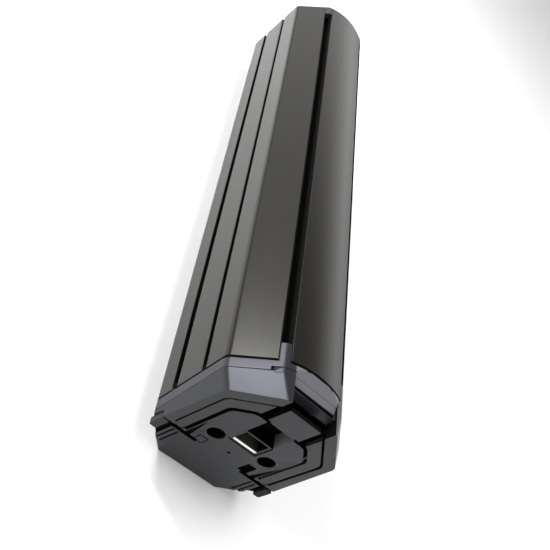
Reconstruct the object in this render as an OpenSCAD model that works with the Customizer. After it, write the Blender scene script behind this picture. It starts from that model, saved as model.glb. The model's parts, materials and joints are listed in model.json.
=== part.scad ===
// Downtube battery for an electric bicycle: an extruded octagonal case with rail
// slots, a raked connector end with a latch pocket, and a far end with the power
// button and the charge port.
// X runs across, Y runs along the case with the connector at -Y, Z runs from the
// flat base up to the crown. The origin is under the middle, on the base.

/* [Case] */
// Length of the extruded case
case_l = 366; // [350:1:390]
// Width across the flat sides
body_w = 70; // [69:0.5:72]
// Height from the flat base to the top of the crown
body_h = 84; // [83:0.5:87]
// Width of the flat base
base_w = 35; // [33:0.5:37]
// Half width of the crown between its corners
crown_half = 17.7; // [17.2:0.1:18.4]
// Radius of the crown
crown_r = 41.3; // [40:0.1:44]
// Wall of the extrusion
wall = 2.4; // [2:0.1:2.6]
// Outer radius of the shoulder corners
shoulder_r = 4.5; // [3:0.1:6]

/* [Rail slots] */
// Distance from the middle to the inner lip of a rail slot
slot_at = 15.2; // [14.8:0.1:15.4]
// Width of the mouth of a rail slot
slot_w = 4.6; // [4:0.1:4.8]
// Depth of a rail slot below its outer lip
slot_d = 3.5; // [3:0.1:3.8]
// Height of the undercut at the floor of a rail slot
slot_room = 3; // [2.4:0.1:3.2]
// Reach of the undercut behind the inner lip
slot_undercut = 1.8; // [1.2:0.1:2.2]

/* [Side grooves] */
// Width of a side groove
groove_w = 2.4; // [1.8:0.1:3]
// Depth of a side groove
groove_d = 3; // [2:0.1:3.2]
// Height of the lower side groove
groove_low = 29; // [28:0.1:30]
// Distance from the lower side groove to the upper one
groove_pitch = 19.3; // [18.5:0.1:20]

/* [Cells] */
// Diameter of a cell
cell_d = 18.4; // [18:0.1:18.5]
// Length of a cell
cell_l = 65.2; // [62:0.1:66]
// Distance between neighbouring cells
cell_pitch = 19.3; // [19:0.1:19.4]
// Thickness of a bus strip
strip_t = 0.6; // [0.3:0.1:1]
// Length of a cell holder
holder_l = 6; // [4:0.5:8]

/* [Connector end] */
// Reach of the connector face past the case at the base
face_foot = 8.4; // [8:0.1:10]
// Rake of the connector face, in degrees
face_rake = 8.5; // [7.5:0.1:9.5]
// Length of the collar outside the case
collar_l = 6; // [5:0.1:6.4]
// Half width of the crown bar over the latch pocket
bar_half = 12.5; // [11.5:0.1:13]
// Reach of the crown bar past the case
bar_reach = 13; // [12:0.1:13.4]
// Height of the latch pocket floor below the crown
pocket_drop = 13.5; // [12:0.1:14]
// Height of the strike tongue below the crown
tongue_drop = 6.8; // [6:0.1:7.5]
// Half width of the strike tongue
tongue_half = 9; // [8:0.1:9.5]
// Thickness of the strike tongue
tongue_t = 2.3; // [1.8:0.1:2.6]
// Width of the mating socket
socket_w = 13.4; // [12:0.1:14]
// Height of the mating socket
socket_h = 9.1; // [8:0.1:9.4]
// Depth of the socket floor below mid height
socket_drop = 2.7; // [2:0.1:3.5]
// Bore of the guide sleeves
guide_bore = 8.4; // [7:0.1:8.6]
// Distance from the middle to the left guide sleeve
guide_left = 13.2; // [13:0.1:13.8]
// Distance from the middle to the right guide sleeve
guide_right = 14; // [13.2:0.1:14.2]
// Depth of the left guide sleeve below mid height
left_drop = 6.3; // [5:0.1:6.6]
// Depth of the right guide sleeve below mid height
right_drop = 2.6; // [2:0.1:5]
// Outer reach of the trim band from the side of the body
band_side = 7; // [6.8:0.1:7.6]
// Width of the trim band along the sides
band_w = 4.8; // [4.4:0.1:5]
// Gap between the trim band and the middle of the face
band_gap = 1.6; // [1:0.1:1.8]
// Gap between the trim band and the rim of the face
band_line = 1; // [0.6:0.1:1.2]

/* [Far end] */
// Reach of the far cap past the case
far_reach = 7; // [6.6:0.1:8]
// Diameter of the power button
button_d = 13; // [11:0.1:14]
// Travel of the power button
button_travel = 1.2; // [0.8:0.1:1.4]
// Width of the charge port flap
flap_w = 28; // [26:0.5:30]
// Height of the charge port flap
flap_h = 24; // [23.5:0.5:25]
// Diameter of the charge port
port_d = 14.8; // [13:0.1:15.4]

/* [Hidden] */
$fn = 48;
root2 = sqrt(2);
// Corner arcs and the crown are drawn with these counts
arc_steps = 5;
crown_steps = 7;
// Overrun of every cut past the face that it opens
over = 1;
// Running gap between parts that move, and between moulded parts that seat
fit = 0.3;
// Sliding gap of a shaft or a screw in its hole
slip = 0.05;
// Thickness of the slices that a loft runs between
slice = 0.01;
// Places in a row of four about its middle
row_shares = [-1.5, -0.5, 0.5, 1.5];

// Case
half_w = body_w / 2;
crown_rise = crown_r - sqrt(crown_r * crown_r - crown_half * crown_half);
shoulder_sum = crown_half + body_h - crown_rise;
shoulder_angle = 45;
slot_lip = shoulder_sum - slot_at - slot_w;
slot_floor = slot_lip - slot_d;
slot_wall = 2.2;
slot_rib = 0.6;
groove_wall = 1.8;
screw_side = 5.7;
screw_boss_r = 2.6;
screw_web = 3.6;
column_x = cell_pitch * sin(60);
column_z = 12.6;

// Rows of cells in the middle column and in the side columns, which lie half a
// pitch higher and end under the rail slots
cell_room = 1;
mid_rows = 1 + floor((body_h - wall - cell_room - cell_d / 2 - column_z) / cell_pitch);
side_z = column_z + cell_pitch / 2;
side_rows = 1 + floor((slot_floor - slot_wall - cell_room - cell_d / 2 - side_z) / cell_pitch);
side_top = side_z + (side_rows - 1) * cell_pitch;
screw_drop = 7.6;
screw_zs = [side_z, shoulder_sum - (half_w - screw_side) - screw_drop];

// Corner rounding of the sections, from the base to the crown
flush = [0, 0, 0, 0, 0];
knee_r = 2;
sharp_crown = [knee_r, knee_r, shoulder_r, 0];
soft_crown = [knee_r, knee_r, shoulder_r, shoulder_r];
inner_r = [knee_r, knee_r, knee_r, 0];

// Connector end, as distances past the case. The posts beside the latch pocket
// reach furthest.
post_top = body_h - crown_r + sqrt(crown_r * crown_r - (bar_half + fit) * (bar_half + fit));
near_reach = face_foot + post_top * tan(face_rake);
near_end = near_reach - (case_l + near_reach + far_reach) / 2;
far_end = near_end + case_l;
gasket_t = 0.6;
gasket_in = 0.4;
spigot_l = 8;
spigot_wall = 2.2;
tab_l = 10;
key_l = 4;
opening_in = 12.5;
cap_base = collar_l + fit;
step_side = 1.7;
step_x = slot_at + slot_w + step_side;
step_l = 2;
step_drop = 15;
step_gap = 1;
bar_sink = 2.9;
bar_flat = body_h - bar_sink;
facet_l = 6.4;
bar_t = 4.8;
tongue_h = 13.2;
tongue_foot = body_h - tongue_drop - tongue_h;
cap_side_draft = 3;
cap_shoulder_draft = 1.4;
face_wall = 3;
face_d = 0.4;
back_foot = 14;
band_shoulder = 7.5;
band_shoulder_w = 6;
band_t = 2.4;
band_end = 0.7;
band_r = 5;
band_out_x = half_w - band_side;
band_in_x = band_out_x - band_w;
band_in_sum = shoulder_sum - root2 * (band_shoulder + band_shoulder_w);
channel_d = 4.6;
track_z = 22.7;
track_w = 2.2;
track_d = 1.6;
band_foot = track_z + track_w / 2;
groove_foot_up = 2.6;
groove_foot = band_foot + groove_foot_up;
key_x = (guide_left + guide_right) / 2;
key_w = 5;
key_left_h = 5.6;
key_right_h = 7.9;
key_gap = 0.5;
key_up = 0.5;
key_foot = track_z + key_up;
wedge_rib = 0.4;
wedge_w = 2.9;
wedge_h = 21;
wedge_angle = 3.5;
corner_in = 8;
corner_d = 1.4;
line_in = 11.3;
line_pitch = 2.6;
line_xs = [half_w - line_in - line_pitch / 2, half_w - line_in + line_pitch / 2];
line_w = 0.9;
line_d = 0.9;
line_foot = 7;
line_room = 1;
line_top = track_z - track_w / 2 - line_room;
lens_r = 0.8;
lens_sink = 1.8;
bumper_in = 5.2;
bumper_x = half_w - bumper_in;
bumper_size = [4.1, 10.2];
bumper_z = band_foot - bumper_size[1];
bumper_gap = 0.5;
bumper_out = 0.4;
bumper_seat = 3;
bumper_r = 1.2;
cap_screw_x = band_out_x - band_w / 2;
cap_screw_shares = [0.33, 0.95];
cap_screw_zs = [for (share = cap_screw_shares)
    band_foot + share * (band_in_sum - band_in_x - band_foot)];

// Screws
screw_r = 1.5;
screw_l = 12;
head_r = 2.75;
head_h = 1.9;
drive_r = 1.2;
drive_d = 1;

// Socket housing
socket_z = body_h / 2 - socket_drop;
guides = [[-guide_left, body_h / 2 - left_drop], [guide_right, body_h / 2 - right_drop]];
sleeve_wall = 1;
sleeve_r = guide_bore / 2 + sleeve_wall;
sleeve_l = 12;
lens_down = 9.8;
lens_z = socket_z - lens_down;
housing_wall = 0.7;
housing_under = 1.5;
housing_half = max(guide_left, guide_right) + sleeve_r + housing_wall;
housing_foot = body_h / 2 - max(left_drop, right_drop) - sleeve_r - housing_under;
housing_room = 0.7;
back_half = housing_half + housing_room;
nose_side = 1.2;
nose_half = socket_w / 2 + nose_side;
nose_wall = 1;
nose_top = socket_z + socket_h + nose_wall;
nose_foot = socket_z - nose_wall;
housing_front = face_foot + housing_foot * tan(face_rake) - face_wall / cos(face_rake) - fit;
housing_back = -1;
socket_back = 2.5;
blade_tip = 7;
blade_size = [4.4, 1];
blade_x = 4.2;
blade_share = 0.55;
blade_z = socket_z + socket_h * blade_share;
pin_r = 0.4;
pin_tip = 6;
pin_pitch = 0.96;
pin_xs = row_shares * pin_pitch;
bar_contact_t = 1.5;
scoop_foot = nose_top + fit;
scoop_h = tongue_foot - band_gap / 2 - scoop_foot;
scoop_d = 8;
scoop_half = 8;
scoop_r = (scoop_h * scoop_h + scoop_d * scoop_d) / (2 * scoop_d);
strike_t = 1.8;

// Battery management board
board_t = 1.6;
board_side = 6.5;
board_half = half_w - board_side;
board_y = spigot_l;
mosfet = [7, 4.4, 6];
mosfet_pitch = 8;
mosfet_drop = 22;
mosfet_z = body_h - mosfet_drop;
heat_t = 1.5;
fuse = [16, 7, 7];
fuse_under = 5;
fuse_z = housing_foot - fuse_under;
thermistor_r = 1.3;
thermistor_l = 12;

// Cells, counted from the connector end
lead_gap = 6;
cells_start = near_end + spigot_l + board_t + lead_gap;
groups = 5;
pack_end = cells_start + groups * cell_l + (groups - 1) * strip_t;
cell_places = concat(
    [for (i = [0:mid_rows - 1]) [0, column_z + i * cell_pitch]],
    [for (s = [-1, 1]) for (i = [0:side_rows - 1]) [s * column_x, side_z + i * cell_pitch]]
);
cell_slip = 0.15;
strip_w = 8;
lead_r = 2.2;
lead_x = 15.5;
lead_z = 8;
ribbon = [7, 1.8];
pad_w = 3.2;
pad_h = 10;
pad_z = groove_low + groove_pitch / 2;

// Far end, as distances past the case
far_flange = 2.2;
far_in = 3.5;
far_edge = 2.5;
flap_t = 2;
flap_share = 0.405;
flap_z = body_h * flap_share;
hinge_up = 1;
hinge_z = flap_z - flap_h / 2 + hinge_up;
hinge_y = far_reach - flap_t;
pin_hinge_r = 1;
knuckle_r = flap_t;
knuckle_w = 10;
lug_w = 4;
hinge_room = 3.1;
port_up = 1.5;
port_z = flap_z + port_up;
port_back = -7;
port_wall = 1.6;
contact_r = 1;
contact_tip = -2;
contact_ring = 3.6;
button_share = 0.69;
button_z = body_h * button_share;
button_flange = 1.6;
button_lip = 1.6;
plate_t = 2.6;
board_far = -5;
spring_r = 3.4;
spring_wire = 0.45;
spring_turns = 4;
spring_sides = 6;
spring_rings = 14;
switch_size = [4.4, 3.4, 4.4];
lens_far_r = 1.2;
lens_far_share = 0.851;
lens_far_z = body_h * lens_far_share;
lens_far_pitch = 5;
lens_far_xs = row_shares * lens_far_pitch;
vent_r = 4;
vent_x = 19;
vent_share = 0.595;
vent_at = [-vent_x, body_h * vent_share];
vent_t = 1.4;
vent_ring_share = 0.55;
far_board_half = 22;
far_board_share = 0.571;
far_board_foot = body_h * far_board_share;
post_r = 2.2;
post_x = 17;
post_share = 0.738;
post_at = [post_x, body_h * post_share];

// Places on Y, measured outwards from each end of the case
function near(d) = near_end - d;
function far(d) = far_end + d;
function reach(z) = face_foot + z * tan(face_rake);
function inset(d) = [d, d, d, d, d];
function unit(v) = v / norm(v);

// Points round one corner, with radius r
function corner(before, at, after, r) = r <= 0 ? [at] :
    let (
        a = unit(before - at),
        b = unit(after - at),
        half = acos(a * b) / 2,
        mid = at + unit(a + b) * r / sin(half),
        from = at + a * r / tan(half) - mid,
        to = at + b * r / tan(half) - mid
    )
    [for (i = [0:arc_steps]) mid + r * unit(from + (to - from) * i / arc_steps)];

// Right half of the body outline. ins moves the side, shoulder, chamfer, base and
// crown inwards, and r rounds the base, knee, shoulder and crown corners.
function half_outline(ins, r) =
    let (
        foot = base_w / 2 - root2 * ins[2],
        sum = shoulder_sum - root2 * ins[1],
        side = half_w - ins[0],
        rad = crown_r - ins[4],
        mid = body_h - crown_r,
        turn = asin((sum - mid) / (rad * root2)) - shoulder_angle,
        low = [foot + ins[3], ins[3]],
        knee = [side, side - foot],
        high = [side, sum - side],
        top = [for (i = [0:crown_steps]) let (t = turn * (1 - i / crown_steps))
            [rad * sin(t), mid + rad * cos(t)]]
    )
    concat(
        corner([-low[0], low[1]], low, knee, r[0]),
        corner(low, knee, high, r[1]),
        corner(knee, high, top[0], r[2]),
        corner(high, top[0], top[1], r[3]),
        [for (i = [1:crown_steps]) top[i]]
    );

function outline(ins, r) =
    let (h = half_outline(ins, r), n = len(h))
    concat(h, [for (i = [2:n]) [-h[n - i][0], h[n - i][1]]]);

// Shapes drawn across the body, as X and Z, and run along Y
module along(from, to) {
    translate([0, to, 0]) rotate([90, 0, 0]) linear_extrude(to - from) children();
}

module rod(r, from, to, x, z) {
    translate([x, to, z]) rotate([90, 0, 0]) cylinder(r = r, h = to - from);
}

module block(x, y, z) {
    translate([x[0], y[0], z[0]]) cube([x[1] - x[0], y[1] - y[0], z[1] - z[0]]);
}

module pane(x, z) {
    translate([x[0], z[0]]) square([x[1] - x[0], z[1] - z[0]]);
}

module both_sides() {
    children();
    mirror([1, 0, 0]) children();
}

// Everything outwards of a plane that lies this deep under the raked face
module past_face(depth) {
    translate([0, near(face_foot), 0]) rotate([face_rake, 0, 0]) rotate([90, 0, 0])
        translate([-body_w, -body_h, -depth]) cube([2 * body_w, 3 * body_h, body_h]);
}

// A shape drawn across the face, sunk to a depth under it
module sunk(depth) {
    intersection() {
        along(near(near_reach + over), near(collar_l)) children();
        past_face(depth);
    }
}

// Section of the case
module slot_shape() {
    difference() {
        union() {
            pane([slot_at, slot_at + slot_w], [slot_floor, body_h + over]);
            pane([slot_at - slot_undercut, slot_at + slot_w], [slot_floor, slot_floor + slot_room]);
        }
        for (i = [1, 2])
            translate([slot_at + slot_w * i / 3 - slot_rib / 2, slot_floor - slot_rib])
                square([slot_rib, 2 * slot_rib]);
    }
}

module groove_shapes() {
    for (z = [groove_low, groove_low + groove_pitch])
        pane([half_w - groove_d, half_w + over], [z - groove_w / 2, z + groove_w / 2]);
}

module screw_places() {
    for (z = screw_zs) translate([half_w - screw_side, z]) children();
}

module cavity(clear) {
    groove_half = groove_w / 2 + groove_wall + clear;
    difference() {
        polygon(outline(inset(wall + clear), inner_r));
        both_sides() {
            pane(
                [slot_at - slot_undercut - slot_wall - clear, half_w],
                [slot_floor - slot_wall - clear, body_h]
            );
            for (z = [groove_low, groove_low + groove_pitch])
                pane([half_w - groove_d - groove_wall - clear, half_w], [z - groove_half, z + groove_half]);
            screw_places() circle(r = screw_boss_r + clear);
            screw_places() pane([0, screw_side], [-screw_web / 2 - clear, screw_web / 2 + clear]);
        }
    }
}

module case_section(inwards) {
    difference() {
        polygon(outline(inset(inwards), sharp_crown));
        cavity(0);
        both_sides() {
            slot_shape();
            groove_shapes();
            screw_places() circle(r = screw_r + slip);
        }
    }
}

module case_extrusion() {
    color("#55544f") along(near_end, far_end) case_section(0);
}

// End fittings share the spigot, the slot tabs and the groove keys
module spigot_section() {
    difference() {
        cavity(fit);
        polygon(outline(inset(wall + fit + spigot_wall), inner_r));
    }
}

module slot_tab_section() {
    both_sides() intersection() {
        polygon(outline(inset(0), soft_crown));
        pane([slot_at + fit, slot_at + slot_w - fit], [slot_floor + slot_rib + fit, body_h]);
    }
}

module key_section() {
    both_sides() for (z = [groove_low, groove_low + groove_pitch])
        pane([half_w - groove_d + fit, half_w - fit], [z - groove_w / 2 + fit, z + groove_w / 2 - fit]);
}

// Pan-head screw with its head outwards, the seat of the head at the origin
module screw(l) {
    difference() {
        union() {
            cylinder(r = screw_r, h = l);
            translate([0, 0, -head_h]) cylinder(r = head_r, h = head_h);
        }
        translate([0, 0, -head_h - over]) cylinder(r = drive_r, h = drive_d + over, $fn = 6);
    }
}

module near_screw(l) {
    rotate([-90, 0, 0]) screw(l);
}

module far_screw(l) {
    rotate([90, 0, 0]) screw(l);
}

// Connector end
module collar_bar() {
    block([-bar_half, bar_half], [near(bar_reach), near(collar_l - over)], [bar_flat - bar_t, bar_flat]);
}

module connector_collar() {
    facet = atan2(body_h - bar_flat, facet_l);
    color("#6b6b74") difference() {
        union() {
            along(near(collar_l), near(gasket_t)) polygon(outline(flush, soft_crown));
            collar_bar();
            along(near(gasket_t), near(-spigot_l)) spigot_section();
            along(near(gasket_t), near(-tab_l)) slot_tab_section();
            along(near(gasket_t), near(-key_l)) key_section();
        }
        along(near(collar_l + over), near(gasket_t - over)) difference() {
            polygon(outline(inset(opening_in), inner_r));
            pane([-half_w, half_w], [body_h - pocket_drop - over, body_h]);
        }
        translate([-bar_half, near(0), body_h]) rotate([facet, 0, 0])
            translate([0, -2 * facet_l, 0]) cube([2 * bar_half, 2 * facet_l, body_h]);
        both_sides() {
            block([bar_half, step_x], [near(collar_l + over), near(collar_l - step_l)],
                [body_h - step_drop, body_h + over]);
            for (z = screw_zs) {
                rod(screw_r + slip, near(collar_l + over), near(-over), half_w - screw_side, z);
                rod(head_r + fit, near(collar_l + over), near(collar_l - head_h - slip),
                    half_w - screw_side, z);
            }
            for (z = cap_screw_zs)
                rod(screw_r + slip, near(collar_l + over), near(-over), cap_screw_x, z);
        }
    }
}

module connector_gasket() {
    color("#151515") along(near(gasket_t), near(0)) case_section(gasket_in);
}

module collar_screws() {
    color("#8a8a88") both_sides() for (z = screw_zs)
        translate([half_w - screw_side, near(collar_l - head_h - slip), z]) near_screw(screw_l);
}

// Plan of the face inside a line that runs parallel to the sides and shoulders,
// with its corners rounded
function face_plan(side, shoulder, top) =
    let (
        x = half_w - side,
        sum = shoulder_sum - root2 * shoulder,
        p = [[-x, 0], [x, 0], [x, sum - x], [sum - top, top], [top - sum, top], [-x, sum - x]],
        n = len(p)
    )
    [for (i = [0:n - 1]) each corner(p[(i + n - 1) % n], p[i], p[(i + 1) % n], band_r)];

// Plan of the trim bands down to a foot, or with grow the channel that holds
// them, which is wider on both edges and opens into the latch pocket
module band_section(grow, foot) {
    stop = bar_half + fit + band_end - 2 * grow;
    difference() {
        polygon(face_plan(band_side - grow, band_shoulder - grow, body_h - tongue_drop));
        polygon(face_plan(
            band_side + band_w + grow, band_shoulder + band_shoulder_w + grow, tongue_foot));
        pane([-body_w, body_w], [-over, foot]);
        pane([-stop, stop], [0, body_h]);
    }
}

// The wider gap inside the bands, which runs on to the corners of the scoop
module inner_gap_section() {
    side = band_side + band_w;
    shoulder = band_shoulder + band_shoulder_w;
    difference() {
        polygon(face_plan(side, shoulder, tongue_foot));
        polygon(face_plan(side + band_gap, shoulder + band_gap, tongue_foot - band_gap));
        pane([-body_w, body_w], [-over, groove_foot]);
        pane([over - scoop_half, scoop_half - over], [0, body_h]);
    }
}

// The channel hugs the foot of the bands, and above it both gaps start round
module channel_section() {
    band_section(slip, band_foot - slip);
    band_section(band_line, groove_foot);
    inner_gap_section();
    both_sides() {
        translate([band_out_x + band_line / 2, groove_foot]) circle(r = band_line / 2);
        translate([band_in_x - band_gap / 2, groove_foot]) circle(r = band_gap / 2);
    }
}

module scoop() {
    intersection() {
        block([-scoop_half, scoop_half], [near(near_reach + over), near(0)],
            [scoop_foot, scoop_foot + scoop_h]);
        translate([-body_w, near(reach(scoop_foot) + scoop_r - scoop_d), scoop_foot]) rotate([0, 90, 0])
            cylinder(r = scoop_r, h = 2 * body_w, $fn = 96);
    }
}

module latch_pocket() {
    side = bar_half + fit;
    wall_at = reach(body_h - tongue_drop) - tongue_t;
    block([-side, side], [near(wall_at), near(collar_l - step_l - over)],
        [body_h - pocket_drop, body_h + over]);
    block([-side, side], [near(near_reach + over), near(collar_l)], [body_h - tongue_drop, body_h + over]);
    both_sides()
        block([tongue_half, side], [near(near_reach + over), near(bar_reach)],
            [tongue_foot, body_h + over]);
}

module cap_body() {
    drafted = [cap_side_draft, cap_shoulder_draft, 0, 0, 0];
    hull() {
        along(near(cap_base + slice), near(cap_base)) polygon(outline(flush, soft_crown));
        along(near(near_reach + slice), near(near_reach)) polygon(outline(drafted, soft_crown));
    }
    both_sides() intersection() {
        along(near(cap_base + over), near(collar_l - step_l + fit)) polygon(outline(flush, soft_crown));
        block([bar_half + fit, step_x - step_gap], [near(cap_base + over), near(0)],
            [body_h - step_drop + step_gap, body_h + over]);
    }
}

module connector_cap() {
    color("#47474c") difference() {
        cap_body();
        past_face(0);
        latch_pocket();
        scoop();
        sunk(channel_d) channel_section();
        intersection() {
            block([-back_half, back_half], [near(near_reach), near(0)], [back_foot, scoop_foot]);
            translate([0, face_wall / cos(face_rake), 0]) difference() {
                block([-body_w, body_w], [near(near_reach + over), near(0)], [0, body_h]);
                past_face(0);
            }
        }
        block([-nose_half - fit, nose_half + fit], [near(near_reach + over), near(0)],
            [nose_foot - fit, scoop_foot]);
        rod(lens_r + slip, near(near_reach), near(0), 0, lens_z);
        sunk(face_wall - face_d) {
            key_pocket(key_right_h);
            mirror([1, 0]) difference() {
                key_pocket(key_left_h);
                key_clip();
            }
        }
        for (at = guides) rod(guide_bore / 2, near(near_reach), near(0), at[0], at[1]);
        both_sides() {
            wedge();
            sunk(corner_d) pane([half_w - corner_in, half_w + over], [-over, band_foot]);
            sunk(track_d) pane([key_x, half_w + over], [track_z - track_w / 2, band_foot]);
            for (x = line_xs)
                sunk(line_d) pane([x - line_w / 2, x + line_w / 2], [line_foot, line_top]);
            sunk(bumper_seat) pane([bumper_x, half_w + over], [bumper_z, band_foot]);
            for (z = cap_screw_zs) {
                rod(screw_r + slip, near(near_reach), near(0), cap_screw_x, z);
                rod(head_r + slip, near(near_reach), near(cap_seat(z)), cap_screw_x, z);
            }
        }
    }
}

// Pocket for the cover's clip. On the left the clip fills it, all but a thin gap
module key_pocket(h) {
    translate([key_x - key_w / 2, key_foot]) square([key_w, h]);
}

module key_clip() {
    offset(delta = -key_gap) key_pocket(key_left_h);
}

// Tapered recess beside the middle of the face, deepest at its foot
module wedge() {
    x = band_in_x - band_gap - wedge_rib;
    top = track_z + wedge_h;
    intersection() {
        along(near(near_reach), near(collar_l))
            polygon([[x - wedge_w, track_z], [x, track_z], [x, top]]);
        translate([0, near(reach(top)), top]) rotate([face_rake + wedge_angle, 0, 0])
            rotate([90, 0, 0]) translate([-body_w, -body_h, 0]) cube([2 * body_w, 2 * body_h, body_h]);
    }
}

// Seat of a cap screw's head, just under the channel floor
function cap_seat(z) = reach(z - head_r) - channel_d / cos(face_rake);

module cap_screws() {
    color("#8a8a88") both_sides() for (z = cap_screw_zs)
        translate([cap_screw_x, near(cap_seat(z)), z]) near_screw(cap_seat(z) - gasket_t - slip);
}

module trim_band() {
    difference() {
        sunk(band_t) intersection() {
            band_section(0, band_foot);
            pane([0, body_w], [0, body_h]);
        }
        past_face(fit);
    }
    for (z = [(band_foot + cap_screw_zs[0] - head_r) / 2, (cap_screw_zs[0] + cap_screw_zs[1]) / 2])
        intersection() {
            rod(screw_r, near(near_reach), near(0), cap_screw_x, z);
            difference() {
                past_face(channel_d);
                past_face(band_t - slip);
            }
        }
}

module trim_band_left() {
    color("#3e403f") mirror([1, 0, 0]) trim_band();
}

module trim_band_right() {
    color("#3e403f") trim_band();
}

module socket_housing() {
    color("#141414") difference() {
        union() {
            block([-housing_half, housing_half], [near(housing_front), near(housing_back)],
                [housing_foot, nose_top]);
            block([-nose_half, nose_half], [near(near_reach), near(housing_back)], [nose_foot, nose_top]);
        }
        past_face(face_d);
        block([-socket_w / 2, socket_w / 2], [near(near_reach), near(socket_back)],
            [socket_z, socket_z + socket_h]);
        for (at = guides)
            rod(sleeve_r + slip, near(near_reach), near(housing_back - over), at[0], at[1]);
        both_sides() {
            block([blade_x - blade_size[0] / 2 - slip, blade_x + blade_size[0] / 2 + slip],
                [near(near_reach), near(housing_back - over)],
                [blade_z - blade_size[1] / 2 - slip, blade_z + blade_size[1] / 2 + slip]);
        }
        rod(lens_r + slip, near(near_reach), near(housing_back - over), 0, lens_z);
        for (x = pin_xs) rod(pin_r + slip, near(near_reach), near(housing_back - over), x, blade_z);
    }
}

module contact_bar() {
    color("#d8d8d4") difference() {
        block([-socket_w / 2 + slip, socket_w / 2 - slip], [near(near_reach), near(socket_back)],
            [socket_z, socket_z + bar_contact_t]);
        past_face(face_d);
    }
}

module power_blades() {
    color("#c9a24a") both_sides()
        block([blade_x - blade_size[0] / 2, blade_x + blade_size[0] / 2],
            [near(blade_tip), near(housing_back - over)],
            [blade_z - blade_size[1] / 2, blade_z + blade_size[1] / 2]);
}

module signal_pins() {
    color("#c9a24a") for (x = pin_xs)
        rod(pin_r, near(pin_tip), near(housing_back - over), x, blade_z);
}

// Sleeve behind a guide hole of the face. It reaches up to the back of the face wall
module guide_sleeve(at) {
    difference() {
        rod(sleeve_r, near(near_reach), near(housing_front - sleeve_l), at[0], at[1]);
        past_face(face_wall + fit);
        rod(guide_bore / 2, near(near_reach), near(housing_front - sleeve_l - over), at[0], at[1]);
    }
}

module guide_sleeve_left() {
    color("#2a2a2a") guide_sleeve(guides[0]);
}

module guide_sleeve_right() {
    color("#2a2a2a") guide_sleeve(guides[1]);
}

module status_lens() {
    color("#d9d6c8") difference() {
        rod(lens_r, near(near_reach), near(housing_back), 0, lens_z);
        past_face(lens_sink);
    }
}

module bumper() {
    low = bumper_z + bumper_r + slip;
    high = bumper_z + bumper_size[1] - bumper_r - bumper_gap;
    left = bumper_x + bumper_r + slip;
    right = bumper_x + bumper_size[0] - bumper_r;
    difference() {
        hull() for (x = [left, right], z = [low, high])
            rod(bumper_r, near(reach(high) + bumper_out), near(collar_l), x, z, $fn = 24);
        past_face(-bumper_out);
        difference() {
            block([-body_w, body_w], [near(near_reach), near(0)], [0, body_h]);
            past_face(bumper_seat);
        }
    }
}

module bumper_left() {
    color("#111111") mirror([1, 0, 0]) bumper();
}

module bumper_right() {
    color("#111111") bumper();
}

module lock_strike() {
    color("#9a9a98") block([-tongue_half, tongue_half], [near(collar_l + strike_t), near(collar_l)],
        [body_h - pocket_drop + fit, bar_flat - bar_t - fit]);
}

// Battery management board, behind the connector
module bms_board() {
    color("#1f5a3a") along(near(-board_y), near(-board_y - board_t)) difference() {
        intersection() {
            cavity(2 * fit);
            pane([-board_half, board_half], [0, body_h]);
        }
        both_sides() for (z = cap_screw_zs) translate([cap_screw_x, z]) circle(r = head_r);
    }
}

module bms_mosfets() {
    color("#1a1a1a") for (i = [-2.5:2.5]) let (x = i * mosfet_pitch)
        block([x - mosfet[0] / 2, x + mosfet[0] / 2],
            [near(-board_y + mosfet[1]), near(-board_y)],
            [mosfet_z - mosfet[2] / 2, mosfet_z + mosfet[2] / 2]);
}

module bms_heat_plate() {
    color("#b9bbba") block([-3 * mosfet_pitch, 3 * mosfet_pitch],
        [near(-board_y + mosfet[1] + heat_t), near(-board_y + mosfet[1])],
        [mosfet_z - mosfet[2], mosfet_z + mosfet[2] / 2]);
}

module main_fuse() {
    color("#d7dde0") block([-fuse[0] / 2, fuse[0] / 2],
        [near(-board_y + fuse[1]), near(-board_y)],
        [fuse_z - fuse[2] / 2, fuse_z + fuse[2] / 2]);
}

module thermistor() {
    color("#2b2b2b") rod(thermistor_r, cells_start + cell_l / 2, cells_start + cell_l / 2 + thermistor_l,
        column_x * 2 / 3, column_z + cell_pitch);
}

// Cell pack
function cells_at(i) = cells_start + (i - 1) * (cell_l + strip_t);

module cell_group(i) {
    color("#2f6fb0") for (p = cell_places)
        rod(cell_d / 2, cells_at(i), cells_at(i) + cell_l, p[0], p[1]);
}

module holder(from) {
    color("#20211f") along(from, from + holder_l) difference() {
        cavity(fit);
        for (p = cell_places) translate(p) circle(r = cell_d / 2 + cell_slip);
        for (s = [-1, 1]) translate([s * lead_x, lead_z]) circle(r = lead_r + cell_slip);
        translate([-lead_x, lead_z]) square(ribbon + [2 * cell_slip, 2 * cell_slip], center = true);
        both_sides()
            pane([half_w - wall - pad_w - cell_slip, half_w], [pad_z - pad_h / 2, pad_z + pad_h / 2]);
    }
}

module cell_holder(i) {
    holder(cells_at(i) + cell_slip);
}

// One strip joins a side column to the lower half of the middle column
module strip_half() {
    mid = column_z + (floor(mid_rows / 2) - 1) * cell_pitch;
    pane([column_x - strip_w / 2, column_x + strip_w / 2],
        [side_z - strip_w / 2, side_top + strip_w / 2]);
    pane([-strip_w / 2, strip_w / 2], [column_z - strip_w / 2, mid + strip_w / 2]);
    pane([0, column_x], [mid - strip_w / 4, mid + strip_w / 4]);
}

module strip_pair(y) {
    top = 2 * column_z + (mid_rows - 1) * cell_pitch;
    color("#c6c8c8") along(y, y + strip_t) {
        strip_half();
        translate([0, top]) rotate(180) strip_half();
    }
}

module bus_strips(i) {
    strip_pair(cells_at(i) - strip_t);
}

module positive_lead() {
    color("#b3261e") rod(lead_r, near(-board_y - board_t), cells_start - strip_t, -column_x,
        side_z + cell_pitch);
}

module negative_lead() {
    color("#161616") rod(lead_r, near(-board_y - board_t), pack_end, lead_x, lead_z);
}

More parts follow.
